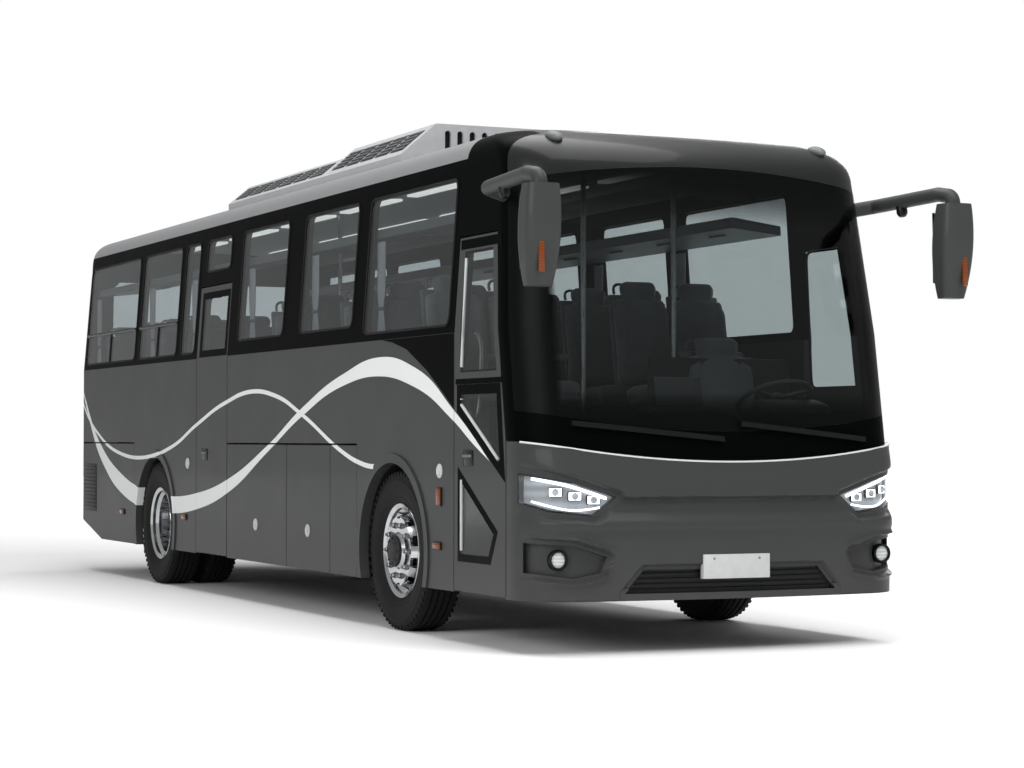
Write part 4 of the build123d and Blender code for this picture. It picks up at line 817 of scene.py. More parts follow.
def nose_heading(y):
    """Turn about Z that makes local X point out of the nose."""
    along = nose(y + HEADING_STEP, 0.0) - nose(y - HEADING_STEP, 0.0)
    return Matrix.Rotation(math.atan2(-along.x, along.y), 3, "Z")


print("corner of the nose starts at", round(BOW_END_Y, 3))

# %% [markdown]
# The fascia of the solid is a plain bowed panel with recesses. The moulded skin over it is a fine grid whose
# points stand off the nose by a height that depends on where they are: a full upper panel, a crease from lamp
# to lamp, a ledge below it and fins round the fog lamps. It dips under the solid round every recess.

# %% Relief of the fascia
FASCIA_LOW_Z = 0.318
FASCIA_TOP_Z = 1.10
FRONT_ARC_R = 6.7
LAMP_OUTLINE = [(0.745, 0.900), (1.0, 0.985), (1.26, 1.040), (1.26, 0.870), (1.13, 0.818), (0.88, 0.790)]
FOG_OUTLINE = [(0.80, 0.560), (1.0, 0.625), (1.225, 0.640), (1.225, 0.470), (1.0, 0.440), (0.84, 0.470)]
GRILLE_OUTLINE = [(-0.01, 0.485), (0.58, 0.485), (0.70, 0.350), (0.70, 0.300), (-0.01, 0.300)]
CREASE_Z = 0.905
LEDGE_Z = 0.745
FOG_Z = 0.545
FIN_PROUD, FIN_PLACE, FIN_WIDTH = 0.022, 0.036, 0.014
SKIN_DIP = 0.006
BOW_ANGLE = math.asin(CORNER_Y / (BOW_R - CORNER_R))
HALF_GIRTH = BOW_R * BOW_ANGLE + CORNER_R * math.radians(62.0)


def fascia_top(y):
    """Height of the fascia's upper edge, an arc that sags in the middle."""
    return FASCIA_TOP_Z + FRONT_ARC_R - math.sqrt(FRONT_ARC_R ** 2 - y ** 2)


def around_nose(girth, z, proud):
    """Place on the nose at a length along its outline, standing proud of it."""
    reach = abs(girth)
    side = math.copysign(1.0, girth)
    angle = reach / BOW_R
    middle, radius = Vector((NOSE_X - BOW_R, 0, z)), BOW_R
    if angle > BOW_ANGLE:
        angle = BOW_ANGLE + (reach - BOW_R * BOW_ANGLE) / CORNER_R
        middle, radius = Vector((CORNER_X, side * CORNER_Y, z)), CORNER_R
    return middle + Vector((math.cos(angle), side * math.sin(angle), 0)) * (radius + proud)


def ease(value, start, end):
    """0 before the start, 1 after the end and a smooth step between them."""
    t = min(1.0, max(0.0, (value - start) / (end - start)))
    return t * t * (3.0 - 2.0 * t)


def outside_by(outline, y, z):
    """Distance from a point to an outline, negative inside it."""
    inside, nearest = False, math.inf
    for (ya, za), (yb, zb) in zip(outline, outline[1:] + outline[:1]):
        along = ((y - ya) * (yb - ya) + (z - za) * (zb - za)) / ((yb - ya) ** 2 + (zb - za) ** 2)
        along = min(1.0, max(0.0, along))
        nearest = min(nearest, math.hypot(y - ya - along * (yb - ya), z - za - along * (zb - za)))
        if (za > z) != (zb > z) and y < ya + (z - za) * (yb - ya) / (zb - za):
            inside = not inside
    return -nearest if inside else nearest


def fascia_relief(y, z, girth):
    """How far the skin stands off the nose, and how far the point is outside the recesses."""
    reach = abs(y)
    top = fascia_top(y)
    crease = CREASE_Z + 0.36 * max(0.0, reach - 0.70)
    panel = 0.016 + 0.026 * ease(top - z, 0.0, top - crease)
    hollow = 0.003 + 0.005 * ease(-z, -crease, -0.80) + 0.046 * ease(-z, -0.83, -LEDGE_Z)
    lower = hollow - 0.024 * ease(-z, 0.020 - LEDGE_Z, -0.655) - 0.008 * ease(-z, -0.5, -0.34)
    height = lower + (panel - lower) * ease(z, crease - 0.022, crease)
    height *= 1.0 - 0.75 * ease(abs(girth), HALF_GIRTH - 0.30, HALF_GIRTH)
    lamp, fog, grille = [outside_by(o, reach, z) for o in (LAMP_OUTLINE, FOG_OUTLINE, GRILLE_OUTLINE)]
    fin = ease(abs(z - FOG_Z), 0.050, 0.070) * ease(-reach, -1.22, -1.12)
    height += FIN_PROUD * fin * math.exp(-((fog - FIN_PLACE) / FIN_WIDTH) ** 2)
    keep = ease(lamp, 0.014, 0.048) * ease(fog, 0.014, 0.034) * ease(grille, 0.014, 0.034)
    return height * keep - SKIN_DIP * (1.0 - keep), min(lamp, fog, grille)


print("relief above the crease", round(fascia_relief(0.0, CREASE_Z, 0.0)[0], 4))

# %% [markdown]
# The grid is wrapped round the nose, loses its faces over the recesses and gets a small thickness. A pale
# strip runs along its top edge: a painted highlight, standing for the light that the fascia's up-facing top
# edge catches.

# %% Fascia skin
SKIN_COLUMNS = 190
SKIN_ROWS = 110
SKIN_THICK = 0.003
HIGHLIGHT_STRIP_STEPS = 20
bm = bmesh.new()
clear = {}
bmesh.ops.create_grid(bm, x_segments=SKIN_COLUMNS, y_segments=SKIN_ROWS, size=0.5)
for vert in bm.verts:
    girth = HALF_GIRTH * 2 * vert.co.x
    y = around_nose(girth, 0.0, 0.0).y
    z = FASCIA_LOW_Z + (fascia_top(y) - FASCIA_LOW_Z) * (vert.co.y + 0.5)
    proud, clear[vert] = fascia_relief(y, z, girth)
    vert.co = around_nose(girth, z, proud)
sunk = [face for face in bm.faces if min(clear[vert] for vert in face.verts) <= 0.0]
bmesh.ops.delete(bm, geom=sunk, context="FACES")
bmesh.ops.recalc_face_normals(bm, faces=bm.faces)
bmesh.ops.solidify(bm, geom=bm.faces[:], thickness=SKIN_THICK)
piece("fascia_skin", bm, grey_enamel)
# The pale strip along the top edge is a painted highlight.
bm = bmesh.new()
edge = [HALF_GIRTH * k / HIGHLIGHT_STRIP_STEPS for k in range(-HIGHLIGHT_STRIP_STEPS, HIGHLIGHT_STRIP_STEPS + 1)]
pipe(bm, [around_nose(s, fascia_top(around_nose(s, 0.0, 0.0).y), 0.012) for s in edge], 0.006)
piece("fascia_top_highlight_strip", bm, highlight_enamel)
print("fascia skin", SKIN_COLUMNS, "by", SKIN_ROWS)

# %% [markdown]
# A headlamp is a clear moulded cover over a bright tray with three square projectors and two bright light
# bars. The solid is the cover. The tray is a shrunken copy of it, and the rest is built on the nose's curve.
# The tray's faint glow is painted light, standing for the lamp's light and the reflections in the chromed
# tray; the projector lenses share that finish.

# %% Headlamps
TRAY_SCALE, TRAY_SINK = 0.93, 0.018
PROJECTORS = [(0.875, 0.885), (0.985, 0.907), (1.085, 0.929)]
PROJECTOR_LENS = [(0.021, 0.0), (0.018, 0.008), (0.010, 0.012), (TINY, 0.013)]
LIGHT_BARS = [(0.009, [(0.80, 0.893), (0.92, 0.935), (1.06, 0.978), (1.19, 1.005)]),
              (0.006, [(0.84, 0.842), (0.95, 0.822), (1.08, 0.834), (1.19, 0.876)])]
bm = bmesh.new()
bm.from_mesh(nodes["headlamps"].data)
bmesh.ops.remove_doubles(bm, verts=bm.verts, dist=1e-6)
frames, glows, domes = bmesh.new(), bmesh.new(), bmesh.new()
for side in BOTH_SIDES:
    half = [vert for vert in bm.verts if vert.co.y * side > 0]
    middle = sum((vert.co for vert in half), Vector()) / len(half)
    inward = Matrix.Translation(middle + Vector((-TRAY_SINK, -side * TRAY_SINK, 0)))
    shrink = inward @ Matrix.Scale(TRAY_SCALE, 4) @ Matrix.Translation(-middle)
    bmesh.ops.transform(bm, matrix=shrink, verts=half)
    for reach, z in PROJECTORS:
        heading = nose_heading(side * reach)
        spot = nose(side * reach, z, 0.020)
        ahead = heading @ FORWARD
        brick(frames, spot, (0.010, 0.042, 0.028), 0.008, heading)
        brick(glows, spot + ahead * 0.0085, (0.004, 0.036, 0.023), 0.003, heading)
        turned(domes, PROJECTOR_LENS, spot + ahead * 0.0125, ahead, steps=24)
    for radius, line in LIGHT_BARS:
        pipe(glows, [nose(side * y, z, 0.014) for y, z in line], radius)
piece("headlamp_trays", bm, tray_painted_glow)
piece("headlamp_projector_frames", frames, satin_black)
piece("headlamp_light_bars", glows, lit_strip)
piece("headlamp_projector_lenses", domes, tray_painted_glow)
print("headlamps lit")

# %% [markdown]
# The bumper has a fog lamp in a pocket at each corner, with a black ring round it, a black lower grille with
# slats, and a blank plate on two screws.

# %% Bumper trim
PLATE_HALF_Y, PLATE_HALF_Z = 0.22, 0.07
PLATE_Z = 0.498
PLATE_X = nose(0.0, PLATE_Z).x + 0.026
SCREW = [(0.007, 0.009), (0.007, 0.012), (0.004, 0.014), (TINY, 0.014)]
SLATS = 4
grille_low, grille_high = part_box("lower_grille")
fog_boxes = [pair for pair in solid_boxes("small_lamps") if pair[0].x > 4.6 and pair[1].z < 0.7]
bm = bmesh.new()
for low, high in fog_boxes:
    middle = (low + high) / 2
    inner = (high.z - low.z) / 2
    outer = inner + 0.014
    turned(bm, [(outer, -0.030), (outer, 0.002), (inner + 0.008, 0.008), (inner, 0.004), (inner, -0.030)],
           (high.x + 0.001, middle.y, middle.z), FORWARD, steps=40)
piece("fog_lamp_rings", bm, satin_black)
bm = bmesh.new()
block(bm, (PLATE_X - 0.030, -PLATE_HALF_Y, PLATE_Z - PLATE_HALF_Z),
      (PLATE_X + 0.010, PLATE_HALF_Y, PLATE_Z + PLATE_HALF_Z), 0.003)
piece("front_plate_blank", bm, pale_plastic)
bm = bmesh.new()
for y in (-0.15, 0.15):
    turned(bm, SCREW, (PLATE_X, y, PLATE_Z + 0.045), FORWARD, steps=12)
piece("front_plate_screws", bm, bolt_steel)
bm = bmesh.new()
for k in range(SLATS):
    z = grille_low.z + (grille_high.z - grille_low.z) * (k + 0.7) / 4.4
    reach = 0.66 - 0.027 * k
    pipe(bm, [nose(y * reach / 4, z, 0.006) for y in range(-4, 5)], 0.006)
piece("lower_grille_slats", bm, satin_black)
print("plate and grille trim", len(fog_boxes), "fog lamps")

# %% [markdown]
# Each mirror hangs from a fat curved horn. The head gets two mirror glasses on its rear face, an amber
# repeater on its front, and the horn a small camera pod, as wide blind-spot views are common on buses.

# %% Mirrors
MIRROR_Y = 1.36
MIRROR_GLASSES = [(2.17, 2.29), (2.31, 2.58)]
POD_X, POD_Y, POD_Z = 4.76, 1.341, 2.650
POD = [(0.030, -0.030), (0.034, -0.01), (0.034, 0.03), (0.022, 0.05), (TINY, 0.055)]
lean = tip(-2.0)
glasses, rims, ambers, pods = bmesh.new(), bmesh.new(), bmesh.new(), bmesh.new()
for side in BOTH_SIDES:
    y = side * MIRROR_Y
    for z0, z1 in MIRROR_GLASSES:
        block(glasses, (5.172, y - 0.074, z0), (5.180, y + 0.074, z1), 0.003, lean)
        block(rims, (5.176, y - 0.080, z0 - 0.006), (5.186, y + 0.080, z1 + 0.006), 0.004, lean)
    block(ambers, (5.345, y + side * 0.010, 2.14), (5.362, y + side * 0.044, 2.42), 0.006, lean)
    turned(pods, POD, (POD_X, side * POD_Y, POD_Z), (0.2, 0, -1), steps=24)
piece("mirror_glasses", glasses, mirror_silver)
piece("mirror_glass_rims", rims, satin_black)
piece("mirror_repeaters", ambers, amber_lens)
piece("mirror_camera_pods", pods, satin_black)
print("mirrors", len(BOTH_SIDES))

# %% [markdown]
# Two long wipers park across the foot of the screen. The solids give their line, and each gets a pivot cap.

# %% Wiper caps
WIPER_CAP = [(0.032, -0.03), (0.032, 0.008), (0.020, 0.018), (TINY, 0.020)]
bm = bmesh.new()
for low, high in solid_boxes("wipers"):
    turned(bm, WIPER_CAP, (nose(high.y, 0.0).x - 0.06, high.y - 0.02, low.z + 0.02), (0.95, 0, 0.3), steps=24)
piece("wiper_pivot_caps", bm, satin_black)
print("wipers", len(solid_boxes("wipers")))

# %% [markdown]
# The roof air conditioner is a glass-fibre hood. Its front face gets a row of tall dark slots, which are
# black blocks as painted shade for the slot openings. Its bevelled sides get mesh panels with bars across
# them, and its top gets fan guards over dark discs that are painted shade for the fan wells.

# %% Roof air conditioner
ac_low, ac_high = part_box("roof_air_conditioner")
AC_SHOULDER = ac_low.z + 0.065
AC_HALF = 0.9
AC_FRONT = {"x": (0.5, 2.07), "half": 0.64, "top": ac_low.z + 0.29, "panels": 5, "fans": (0.95, 1.62)}
AC_REAR = {"x": (-1.75, 0.5), "half": 0.72, "top": ac_low.z + 0.215, "panels": 6,
           "fans": (-1.35, -0.65, 0.05)}
SLOTS, SLOT_PITCH, SLOT_HALF = 13, 0.092, 0.023
MESH_LINES = 5
FAN_Y = 0.32
FAN_RIM = [(0.245, -0.004), (0.245, 0.008), (0.215, 0.010), (0.215, -0.004)]
GUARD_RINGS = (0.06, 0.11, 0.16)
GUARD_HALF = 0.003
FAN_WELL_SHADE = [(0.214, 0.0025), (TINY, 0.0025)]
# The slots are black blocks: painted shade where the openings are.
bm = bmesh.new()
for k in range(SLOTS):
    y = (k - (SLOTS - 1) / 2) * SLOT_PITCH
    block(bm, (ac_high.x - 0.05, y - SLOT_HALF, AC_SHOULDER + 0.02),
          (ac_high.x - 0.022, y + SLOT_HALF, AC_FRONT["top"] - 0.045))
piece("air_conditioner_slot_shade", bm, satin_black)


def mesh_panels(meshes, bars, unit, side):
    """A row of mesh panels with their bars on one bevelled side of a unit."""
    x0, x1 = unit["x"]
    pitch = (x1 - x0 - 0.12) / unit["panels"]
    rise, run = unit["top"] - AC_SHOULDER, AC_HALF - unit["half"]
    lean, length = Matrix.Rotation(-side * math.atan2(rise, run), 3, "X"), math.hypot(rise, run)
    for k in range(unit["panels"]):
        centre = Vector((x0 + 0.06 + pitch * (k + 0.5), side * (AC_HALF + unit["half"]) / 2,
                         (AC_SHOULDER + unit["top"]) / 2))
        brick(meshes, centre, (pitch * 0.42, length * 0.32, 0.004), 0.003, lean)
        for line in range(MESH_LINES):
            shift = lean @ Vector((0, (line - 2) * length * 0.125, 0.005))
            brick(bars, centre + shift, (pitch * 0.40, 0.006, 0.004), 0.002, lean)


def fan(guards, well_shades, centre):
    """One fan: a rim, guard rings and a dark disc, painted shade for its well."""
    turned(guards, FAN_RIM, centre, UP)
    for ring in GUARD_RINGS:
        inner, outer = ring - GUARD_HALF, ring + GUARD_HALF
        turned(guards, [(inner, 0.004), (inner, 0.008), (outer, 0.008), (outer, 0.004)], centre, UP, steps=36)
    # The dark disc is painted shade for the fan's well.
    turned(well_shades, FAN_WELL_SHADE, centre, UP, steps=36)


meshes, bars, guards, well_shades = bmesh.new(), bmesh.new(), bmesh.new(), bmesh.new()
for unit in (AC_FRONT, AC_REAR):
    for side in BOTH_SIDES:
        mesh_panels(meshes, bars, unit, side)
    for x in unit["fans"]:
        for y in (-FAN_Y, FAN_Y):
            fan(guards, well_shades, (x, y, min(unit["top"], cad_high.z - 0.012)))
piece("air_conditioner_mesh_panels", meshes, satin_black)
piece("air_conditioner_mesh_bars", bars, grey_plastic)
piece("air_conditioner_fan_guards", guards, grey_plastic)
piece("air_conditioner_fan_well_shade", well_shades, satin_black)
print("air conditioner", SLOTS, "slots")

# %% [markdown]
# Along the sides sit small fittings: round lock cups on the luggage flaps, emergency-release discs, amber
# marker lamps with a bezel, and the louvred vent on the engine side door. Each stands on the skin.

# %% Side fittings
LOCK_CUPS = {"rear": (0.04, 0.59), "front": (1.197, 0.585)}
LOCK_CUP = [(0.045, -0.002), (0.045, 0.004), (0.041, 0.007), (0.036, 0.005), (0.030, 0.0015), (0.012, 0.001),
            (0.012, 0.006), (TINY, 0.006)]
RELEASE_DISCS = [(3.60, 1.035), (-1.714, 1.03)]
RELEASE_DISC = [(0.044, -0.002), (0.044, 0.005), (0.038, 0.009), (0.030, 0.006), (0.026, 0.006),
                (0.022, 0.011), (TINY, 0.012)]
VENT_X0, VENT_X1 = -5.06, -4.62
VENT_Z0, VENT_Z1 = 0.56, 1.0
VENT_BLADES = 12
RIGHT_SKIN = -BODY_HALF
for hand, side in HANDS.items():
    for end, (x, z) in LOCK_CUPS.items():
        body = f"luggage_door_{hand}_{end}"
        bm = bmesh.new()
        turned(bm, LOCK_CUP, (x, side * BODY_HALF, z), (0, side, 0), steps=40)
        piece(body + "_lock_cup", bm, pale_plastic, body)
bm = bmesh.new()
for x, z in RELEASE_DISCS:
    turned(bm, RELEASE_DISC, (x, RIGHT_SKIN, z), (0, -1, 0), steps=40)
piece("emergency_release_discs", bm, pale_plastic)
bm = bmesh.new()
block(bm, (VENT_X0, RIGHT_SKIN - 0.004, VENT_Z0), (VENT_X1, RIGHT_SKIN + 0.004, VENT_Z1), 0.003)
slope = Matrix.Rotation(math.radians(35.0), 3, "X")
for k in range(VENT_BLADES):
    z = VENT_Z0 + 0.02 + (VENT_Z1 - VENT_Z0 - 0.04) * (k + 0.5) / VENT_BLADES
    block(bm, (VENT_X0 + 0.015, RIGHT_SKIN - 0.008, z - 0.010),
          (VENT_X1 - 0.015, RIGHT_SKIN + 0.002, z + 0.010), 0.002, slope)
piece("rear_louvre_vent", bm, black_plastic, "engine_door_right")
flap_low, flap_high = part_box("engine_door_right")
markers = {"body": (bmesh.new(), bmesh.new()), "engine_door_right": (bmesh.new(), bmesh.new())}
for low, high in solid_boxes("small_lamps"):
    if abs(low.y + high.y) > 2.4:
        side = math.copysign(1.0, low.y)
        on_flap = side < 0 and flap_low.x < low.x < flap_high.x
        bezels, caps = markers["engine_door_right" if on_flap else "body"]
        for bm, spread, inner, outer, bevel in ((bezels, 0.008, 0.0005, 0.0075, 0.003),
                                                (caps, 0.0015, 0.0045, 0.016, 0.006)):
            near, far = sorted(side * (BODY_HALF + proud) for proud in (inner, outer))
            block(bm, (low.x - spread, near, low.z - spread), (high.x + spread, far, high.z + spread), bevel)
for body, (bezels, caps) in markers.items():
    piece("side_marker_bezels_" + body, bezels, satin_black, body)
    piece("side_marker_lenses_" + body, caps, amber_lens, body)
print("side markers on", list(markers))

# %% [markdown]
# Each side window is bonded glass with a black rubber edge. A thin seal is drawn round every pane, and the
# opening windows at the rear get a dividing bar with an upright below it, as on the real sashes.

# %% Window seals and bars
SEAL_CORNER = 0.05
SEAL_SINK = -0.002
SASH_WIDTH, SASH_FOOT_Z, SASH_BEHIND_X, SASH_SHARE = 0.9, 1.95, -3.0, 0.3
window_boxes = [pair for pair in solid_boxes("windows") if pair[1].y - pair[0].y < 0.2]


def on_side(x, z, side, proud=0.0):
    """Place on the leaning side wall, above the belt."""
    return Vector((x, side * (side_y(z) + proud), z))


seals, bars = bmesh.new(), bmesh.new()
for low, high in window_boxes:
    side = math.copysign(1.0, low.y)
    loop = []
    for x, z, dx, dz in ((low.x, low.z, 1, 1), (high.x, low.z, -1, 1), (high.x, high.z, -1, -1),
                         (low.x, high.z, 1, -1)):
        corner = [on_side(x + dx * SEAL_CORNER * along, z + dz * SEAL_CORNER * up, side, SEAL_SINK)
                  for along, up in ((0, 1), (0.3, 0.3), (1, 0))]
        loop += corner if dx * dz > 0 else corner[::-1]
    pipe(seals, loop, 0.009, closed=True, smooth=False, resolution=2)
    if high.x - low.x > SASH_WIDTH and low.z <= SASH_FOOT_Z and low.x < SASH_BEHIND_X:
        x = (low.x + high.x) / 2
        z = low.z + (high.z - low.z) * SASH_SHARE
        pipe(bars, [on_side(low.x, z, side), on_side(high.x, z, side)], 0.016, smooth=False)
        pipe(bars, [on_side(x, low.z, side), on_side(x, z, side)], 0.011, smooth=False)
piece("window_seals", seals, seal_rubber)
piece("window_bars", bars, satin_black)
print("windows", len(window_boxes))

# %% [markdown]
# The front door is black above the wave, and its three panes have black surrounds with a pale reveal. Each
# surround is one face, inset by its width, and the ring that the inset makes is pushed out to a thin film.
# The same black film covers the wedge of side panel between the window band and the wave.

# %% Black film and door surrounds
FILM = Vector((0, -0.0025, 0))
FILM_SINK = 0.001
REVEAL_X = 3.940
REVEAL_R = 0.010
SLOPED_REVEAL = [(REVEAL_X, 1.436), (4.480, 1.112)]
DOOR_SURROUNDS = [(0.083, [(3.845, 1.559), (4.523, 1.559), (4.440, 2.431), (3.845, 2.431)]),
                  (0.060, [(3.868, 1.393), (4.574, 0.980), (4.503, 1.557), (3.868, 1.557)]),
                  (0.046, [(3.882, 0.496), (4.366, 0.496), (4.471, 0.692), (3.882, 1.062)])]
EXIT_SURROUND = (0.054, [(-1.412, 1.883), (-0.698, 1.883), (-0.698, 2.402), (-1.412, 2.402)])
WEDGE = [(2.62, 1.873), (2.80, 1.853), (3.05, 1.80), (3.4, 1.652), (3.62, 1.53), (3.815, 1.417),
         (3.815, 1.873)]


def side_face(bm, outline):
    """One face on the leaning right side, just under its skin."""
    return bm.faces.new([bm.verts.new((x, FILM_SINK - side_y(z), z)) for x, z in outline])


def surround(bm, width, outline):
    """Thin black ring inside an outline, on the right side."""
    face = side_face(bm, outline)
    face.normal_update()
    ring = bmesh.ops.inset_region(bm, faces=[face], thickness=width, use_boundary=True, use_even_offset=True)
    bmesh.ops.delete(bm, geom=[face], context="FACES_ONLY")
    push_out(bm, ring["faces"], FILM)


film, reveal = bmesh.new(), bmesh.new()
for width, outline in DOOR_SURROUNDS:
    surround(film, width, outline)
    low_z, high_z = outline[0][1] + width + 0.02, outline[-1][1] - width - 0.03
    pipe(reveal, [(REVEAL_X, -side_y(z) - 0.001, z) for z in (low_z, high_z)], REVEAL_R, smooth=False)
pipe(reveal, [(x, RIGHT_SKIN - 0.001, z) for x, z in SLOPED_REVEAL], REVEAL_R, smooth=False)
piece("front_door_surrounds", film, band_enamel, "front_door")
film = bmesh.new()
surround(film, *EXIT_SURROUND)
piece("exit_door_surround", film, band_enamel, "exit_door")
piece("front_door_reveals", reveal, pale_plastic, "front_door")
bm = bmesh.new()
push_out(bm, [side_face(bm, WEDGE)], FILM)
piece("black_wedge_film", bm, band_enamel)
print("door surrounds", len(DOOR_SURROUNDS) + 1)

# %% [markdown]
# The doors are glazed leaves. Outside they have a handle in a cup, and inside a grab rail. All of that turns
# with the leaf, so each piece rides on its own door.

# %% Door fittings
DOOR_HANDLES = {"front_door": (4.04, 1.117), "exit_door": (-1.248, 1.106)}
GRIP = [(-0.058, 0.004), (-0.050, 0.014), (0.050, 0.014), (0.058, 0.004)]
GRAB_RAIL = [(-1.19, 1.32), (-1.14, 1.35), (-1.13, 1.6), (-1.12, 1.85), (-1.17, 1.88)]
for body, (x, z) in DOOR_HANDLES.items():
    bm = bmesh.new()
    block(bm, (x - 0.075, RIGHT_SKIN - 0.004, z - 0.050), (x + 0.075, RIGHT_SKIN + 0.01, z + 0.050), 0.012)
    piece(body + "_handle_cup", bm, satin_black, body)
    bm = bmesh.new()
    pipe(bm, [(x + along, RIGHT_SKIN - proud, z + 0.012) for along, proud in GRIP], 0.009)
    piece(body + "_handle_grip", bm, grey_plastic, body)
    bm = bmesh.new()
    rail_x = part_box(body)[0].x + 0.12
    pipe(bm, [(rail_x, rail_y, rail_z) for rail_y, rail_z in GRAB_RAIL], 0.013)
    piece(body + "_grab_rail", bm, rail_steel, body)
print("door fittings on", list(DOOR_HANDLES))

# %% [markdown]
# The small lamps are clear caps. The two on the roof are teardrops and the fog lamps are domed lenses, so
# new pieces take the place of the plain solids.

# %% Roof marker and fog lenses
DROP = tip(14.0).to_4x4() @ Matrix.Diagonal((0.085, 0.045, 0.032, 1.0))
drops, fog_lens = bmesh.new(), bmesh.new()
for low, high in solid_boxes("small_lamps"):
    middle = (low + high) / 2
    if low.z > 2.5:
        spot = Matrix.Translation((middle.x, middle.y, low.z + 0.038))
        bmesh.ops.create_uvsphere(drops, u_segments=24, v_segments=14, radius=1.0, matrix=spot @ DROP)
    elif low.x > 4.6:
        radius = (high.z - low.z) / 2
        turned(fog_lens, [(radius, -0.030), (radius, -0.008), (radius * 0.8, -0.002), (radius * 0.4, 0.002),
                          (TINY, 0.003)], (high.x, middle.y, middle.z), FORWARD, steps=32)
piece("fog_lamp_lenses", fog_lens, white_lens)
drop_lamps = piece("roof_marker_lamps", drops, grey_plastic)
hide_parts("small_lamps")
print("small lamps replaced")

# %% [markdown]
# The tail is nearly flat. The engine lid carries louvres, locks and a blank plate in a shallow frame, and all
# of those turn with the lid. The reflectors, bumper strip, window seal and high brake lamp stay on the wall.

# %% Tail
TAIL_X = -5.38
TAIL_BOW_R = 9.0
TAIL_LEAN = math.tan(math.radians(3.0))
LOUVRES = 11
LID_LOCK = [(0.030, -0.004), (0.030, 0.006), (0.022, 0.009), (0.012, 0.004), (TINY, 0.004)]
REAR_WINDOW = [(-0.86, 1.96), (0.86, 1.96), (0.93, 2.03), (0.93, 2.67), (0.86, 2.74), (-0.86, 2.74),
               (-0.93, 2.67), (-0.93, 2.03)]


def tail(y, z, proud=0.0):
    """Place on the tail wall, which leans in above the sill, standing proud of it by that much."""
    bow = TAIL_BOW_R - math.sqrt(TAIL_BOW_R ** 2 - y ** 2)
    return Vector((TAIL_X - proud + bow + max(0.0, z - SILL_Z) * TAIL_LEAN, y, z))


bm = bmesh.new()
for k in range(LOUVRES):
    pipe(bm, [tail(-0.62 + 0.155 * j, 0.90 + 0.034 * k, 0.002) for j in range(9)], 0.011, resolution=2)
piece("engine_lid_louvres", bm, black_plastic, "engine_lid")
bm = bmesh.new()
block(bm, (TAIL_X - 0.010, -0.26, 1.36), (TAIL_X + 0.012, 0.26, 1.51), 0.006)
piece("rear_plate_frame", bm, satin_black, "engine_lid")
bm = bmesh.new()
block(bm, (TAIL_X - 0.013, -0.22, 1.38), (TAIL_X + 0.002, 0.22, 1.49), 0.003)
piece("rear_plate_blank", bm, pale_plastic, "engine_lid")
bm = bmesh.new()
for y in (-0.5, 0.5):
    turned(bm, LID_LOCK, tail(y, 0.845), -FORWARD, steps=32)
piece("engine_lid_locks", bm, bolt_steel, "engine_lid")
# The reflectors take the red lens finish. Its faint glow on them is painted light, because a reflector is not
# a lamp.
bm = bmesh.new()
for y in (-0.72, 0.72):
    block(bm, (TAIL_X - 0.004, y - 0.05, 0.64), (TAIL_X + 0.045, y + 0.05, 0.69), 0.004)
piece("rear_reflectors", bm, red_lens)
bm = bmesh.new()
pipe(bm, [tail(-0.95 + 0.19 * j, 0.745, 0.001) for j in range(11)], 0.014, resolution=2)
piece("rear_bumper_strip", bm, black_plastic)
bm = bmesh.new()
pipe(bm, [tail(y, z) for y, z in REAR_WINDOW], 0.011, closed=True, smooth=False, resolution=2)
piece("rear_window_seal", bm, seal_rubber)
bm = bmesh.new()
brake_x = tail(0.0, 2.82).x
block(bm, (brake_x - 0.006, -0.18, 2.80), (brake_x + 0.03, 0.18, 2.83), 0.006)
piece("high_brake_lamp", bm, red_lens)
print("tail louvres", LOUVRES)

# %% [markdown]
# A coach seat is foam under moquette: a cushion, a tall back and a headrest. Each is a rounded block,
# remeshed evenly and blown up a little by a cloth simulation, so that its faces crown and its edges pull in.
# Sewn channels are pressed in afterwards. One seat is made, and the rest are copies at the solids' places.

# %% Seat pads
VOXEL = 0.019
SWELL_CAP = 0.014
SWELL_FRAMES = 20
PRESSURE = 4.0
CHANNELS = (-0.115, 0.115)
CHANNEL_DEPTH = 0.008
CHANNEL_HALF = 0.016
BACK_TIP = tip(-10.5)
SEAT_TIP = tip(-3.5)


def seat_foam():
    """Cushion, back, headrest and bolsters as rounded blocks, about the seat's origin on the floor."""
    bm = bmesh.new()
    block(bm, (0.0, -0.20, 0.345), (0.455, 0.20, 0.425), 0.032, SEAT_TIP, 3)
    block(bm, (-0.165, -0.20, 0.43), (-0.075, 0.20, 1.02), 0.034, BACK_TIP, 3)
    block(bm, (-0.225, -0.135, 1.025), (-0.140, 0.135, 1.145), 0.034, BACK_TIP, 3)
    for y in (-0.185, 0.185):
        block(bm, (-0.128, y - 0.022, 0.50), (-0.058, y + 0.022, 0.95), 0.018, BACK_TIP)
    return to_mesh("seat_foam", bm)


def settled(item):
    """A mesh of the object as its modifiers leave it, and the object is removed."""
    mesh = bpy.data.meshes.new_from_object(item.evaluated_get(bpy.context.evaluated_depsgraph_get()))
    bpy.data.objects.remove(item)
    return mesh


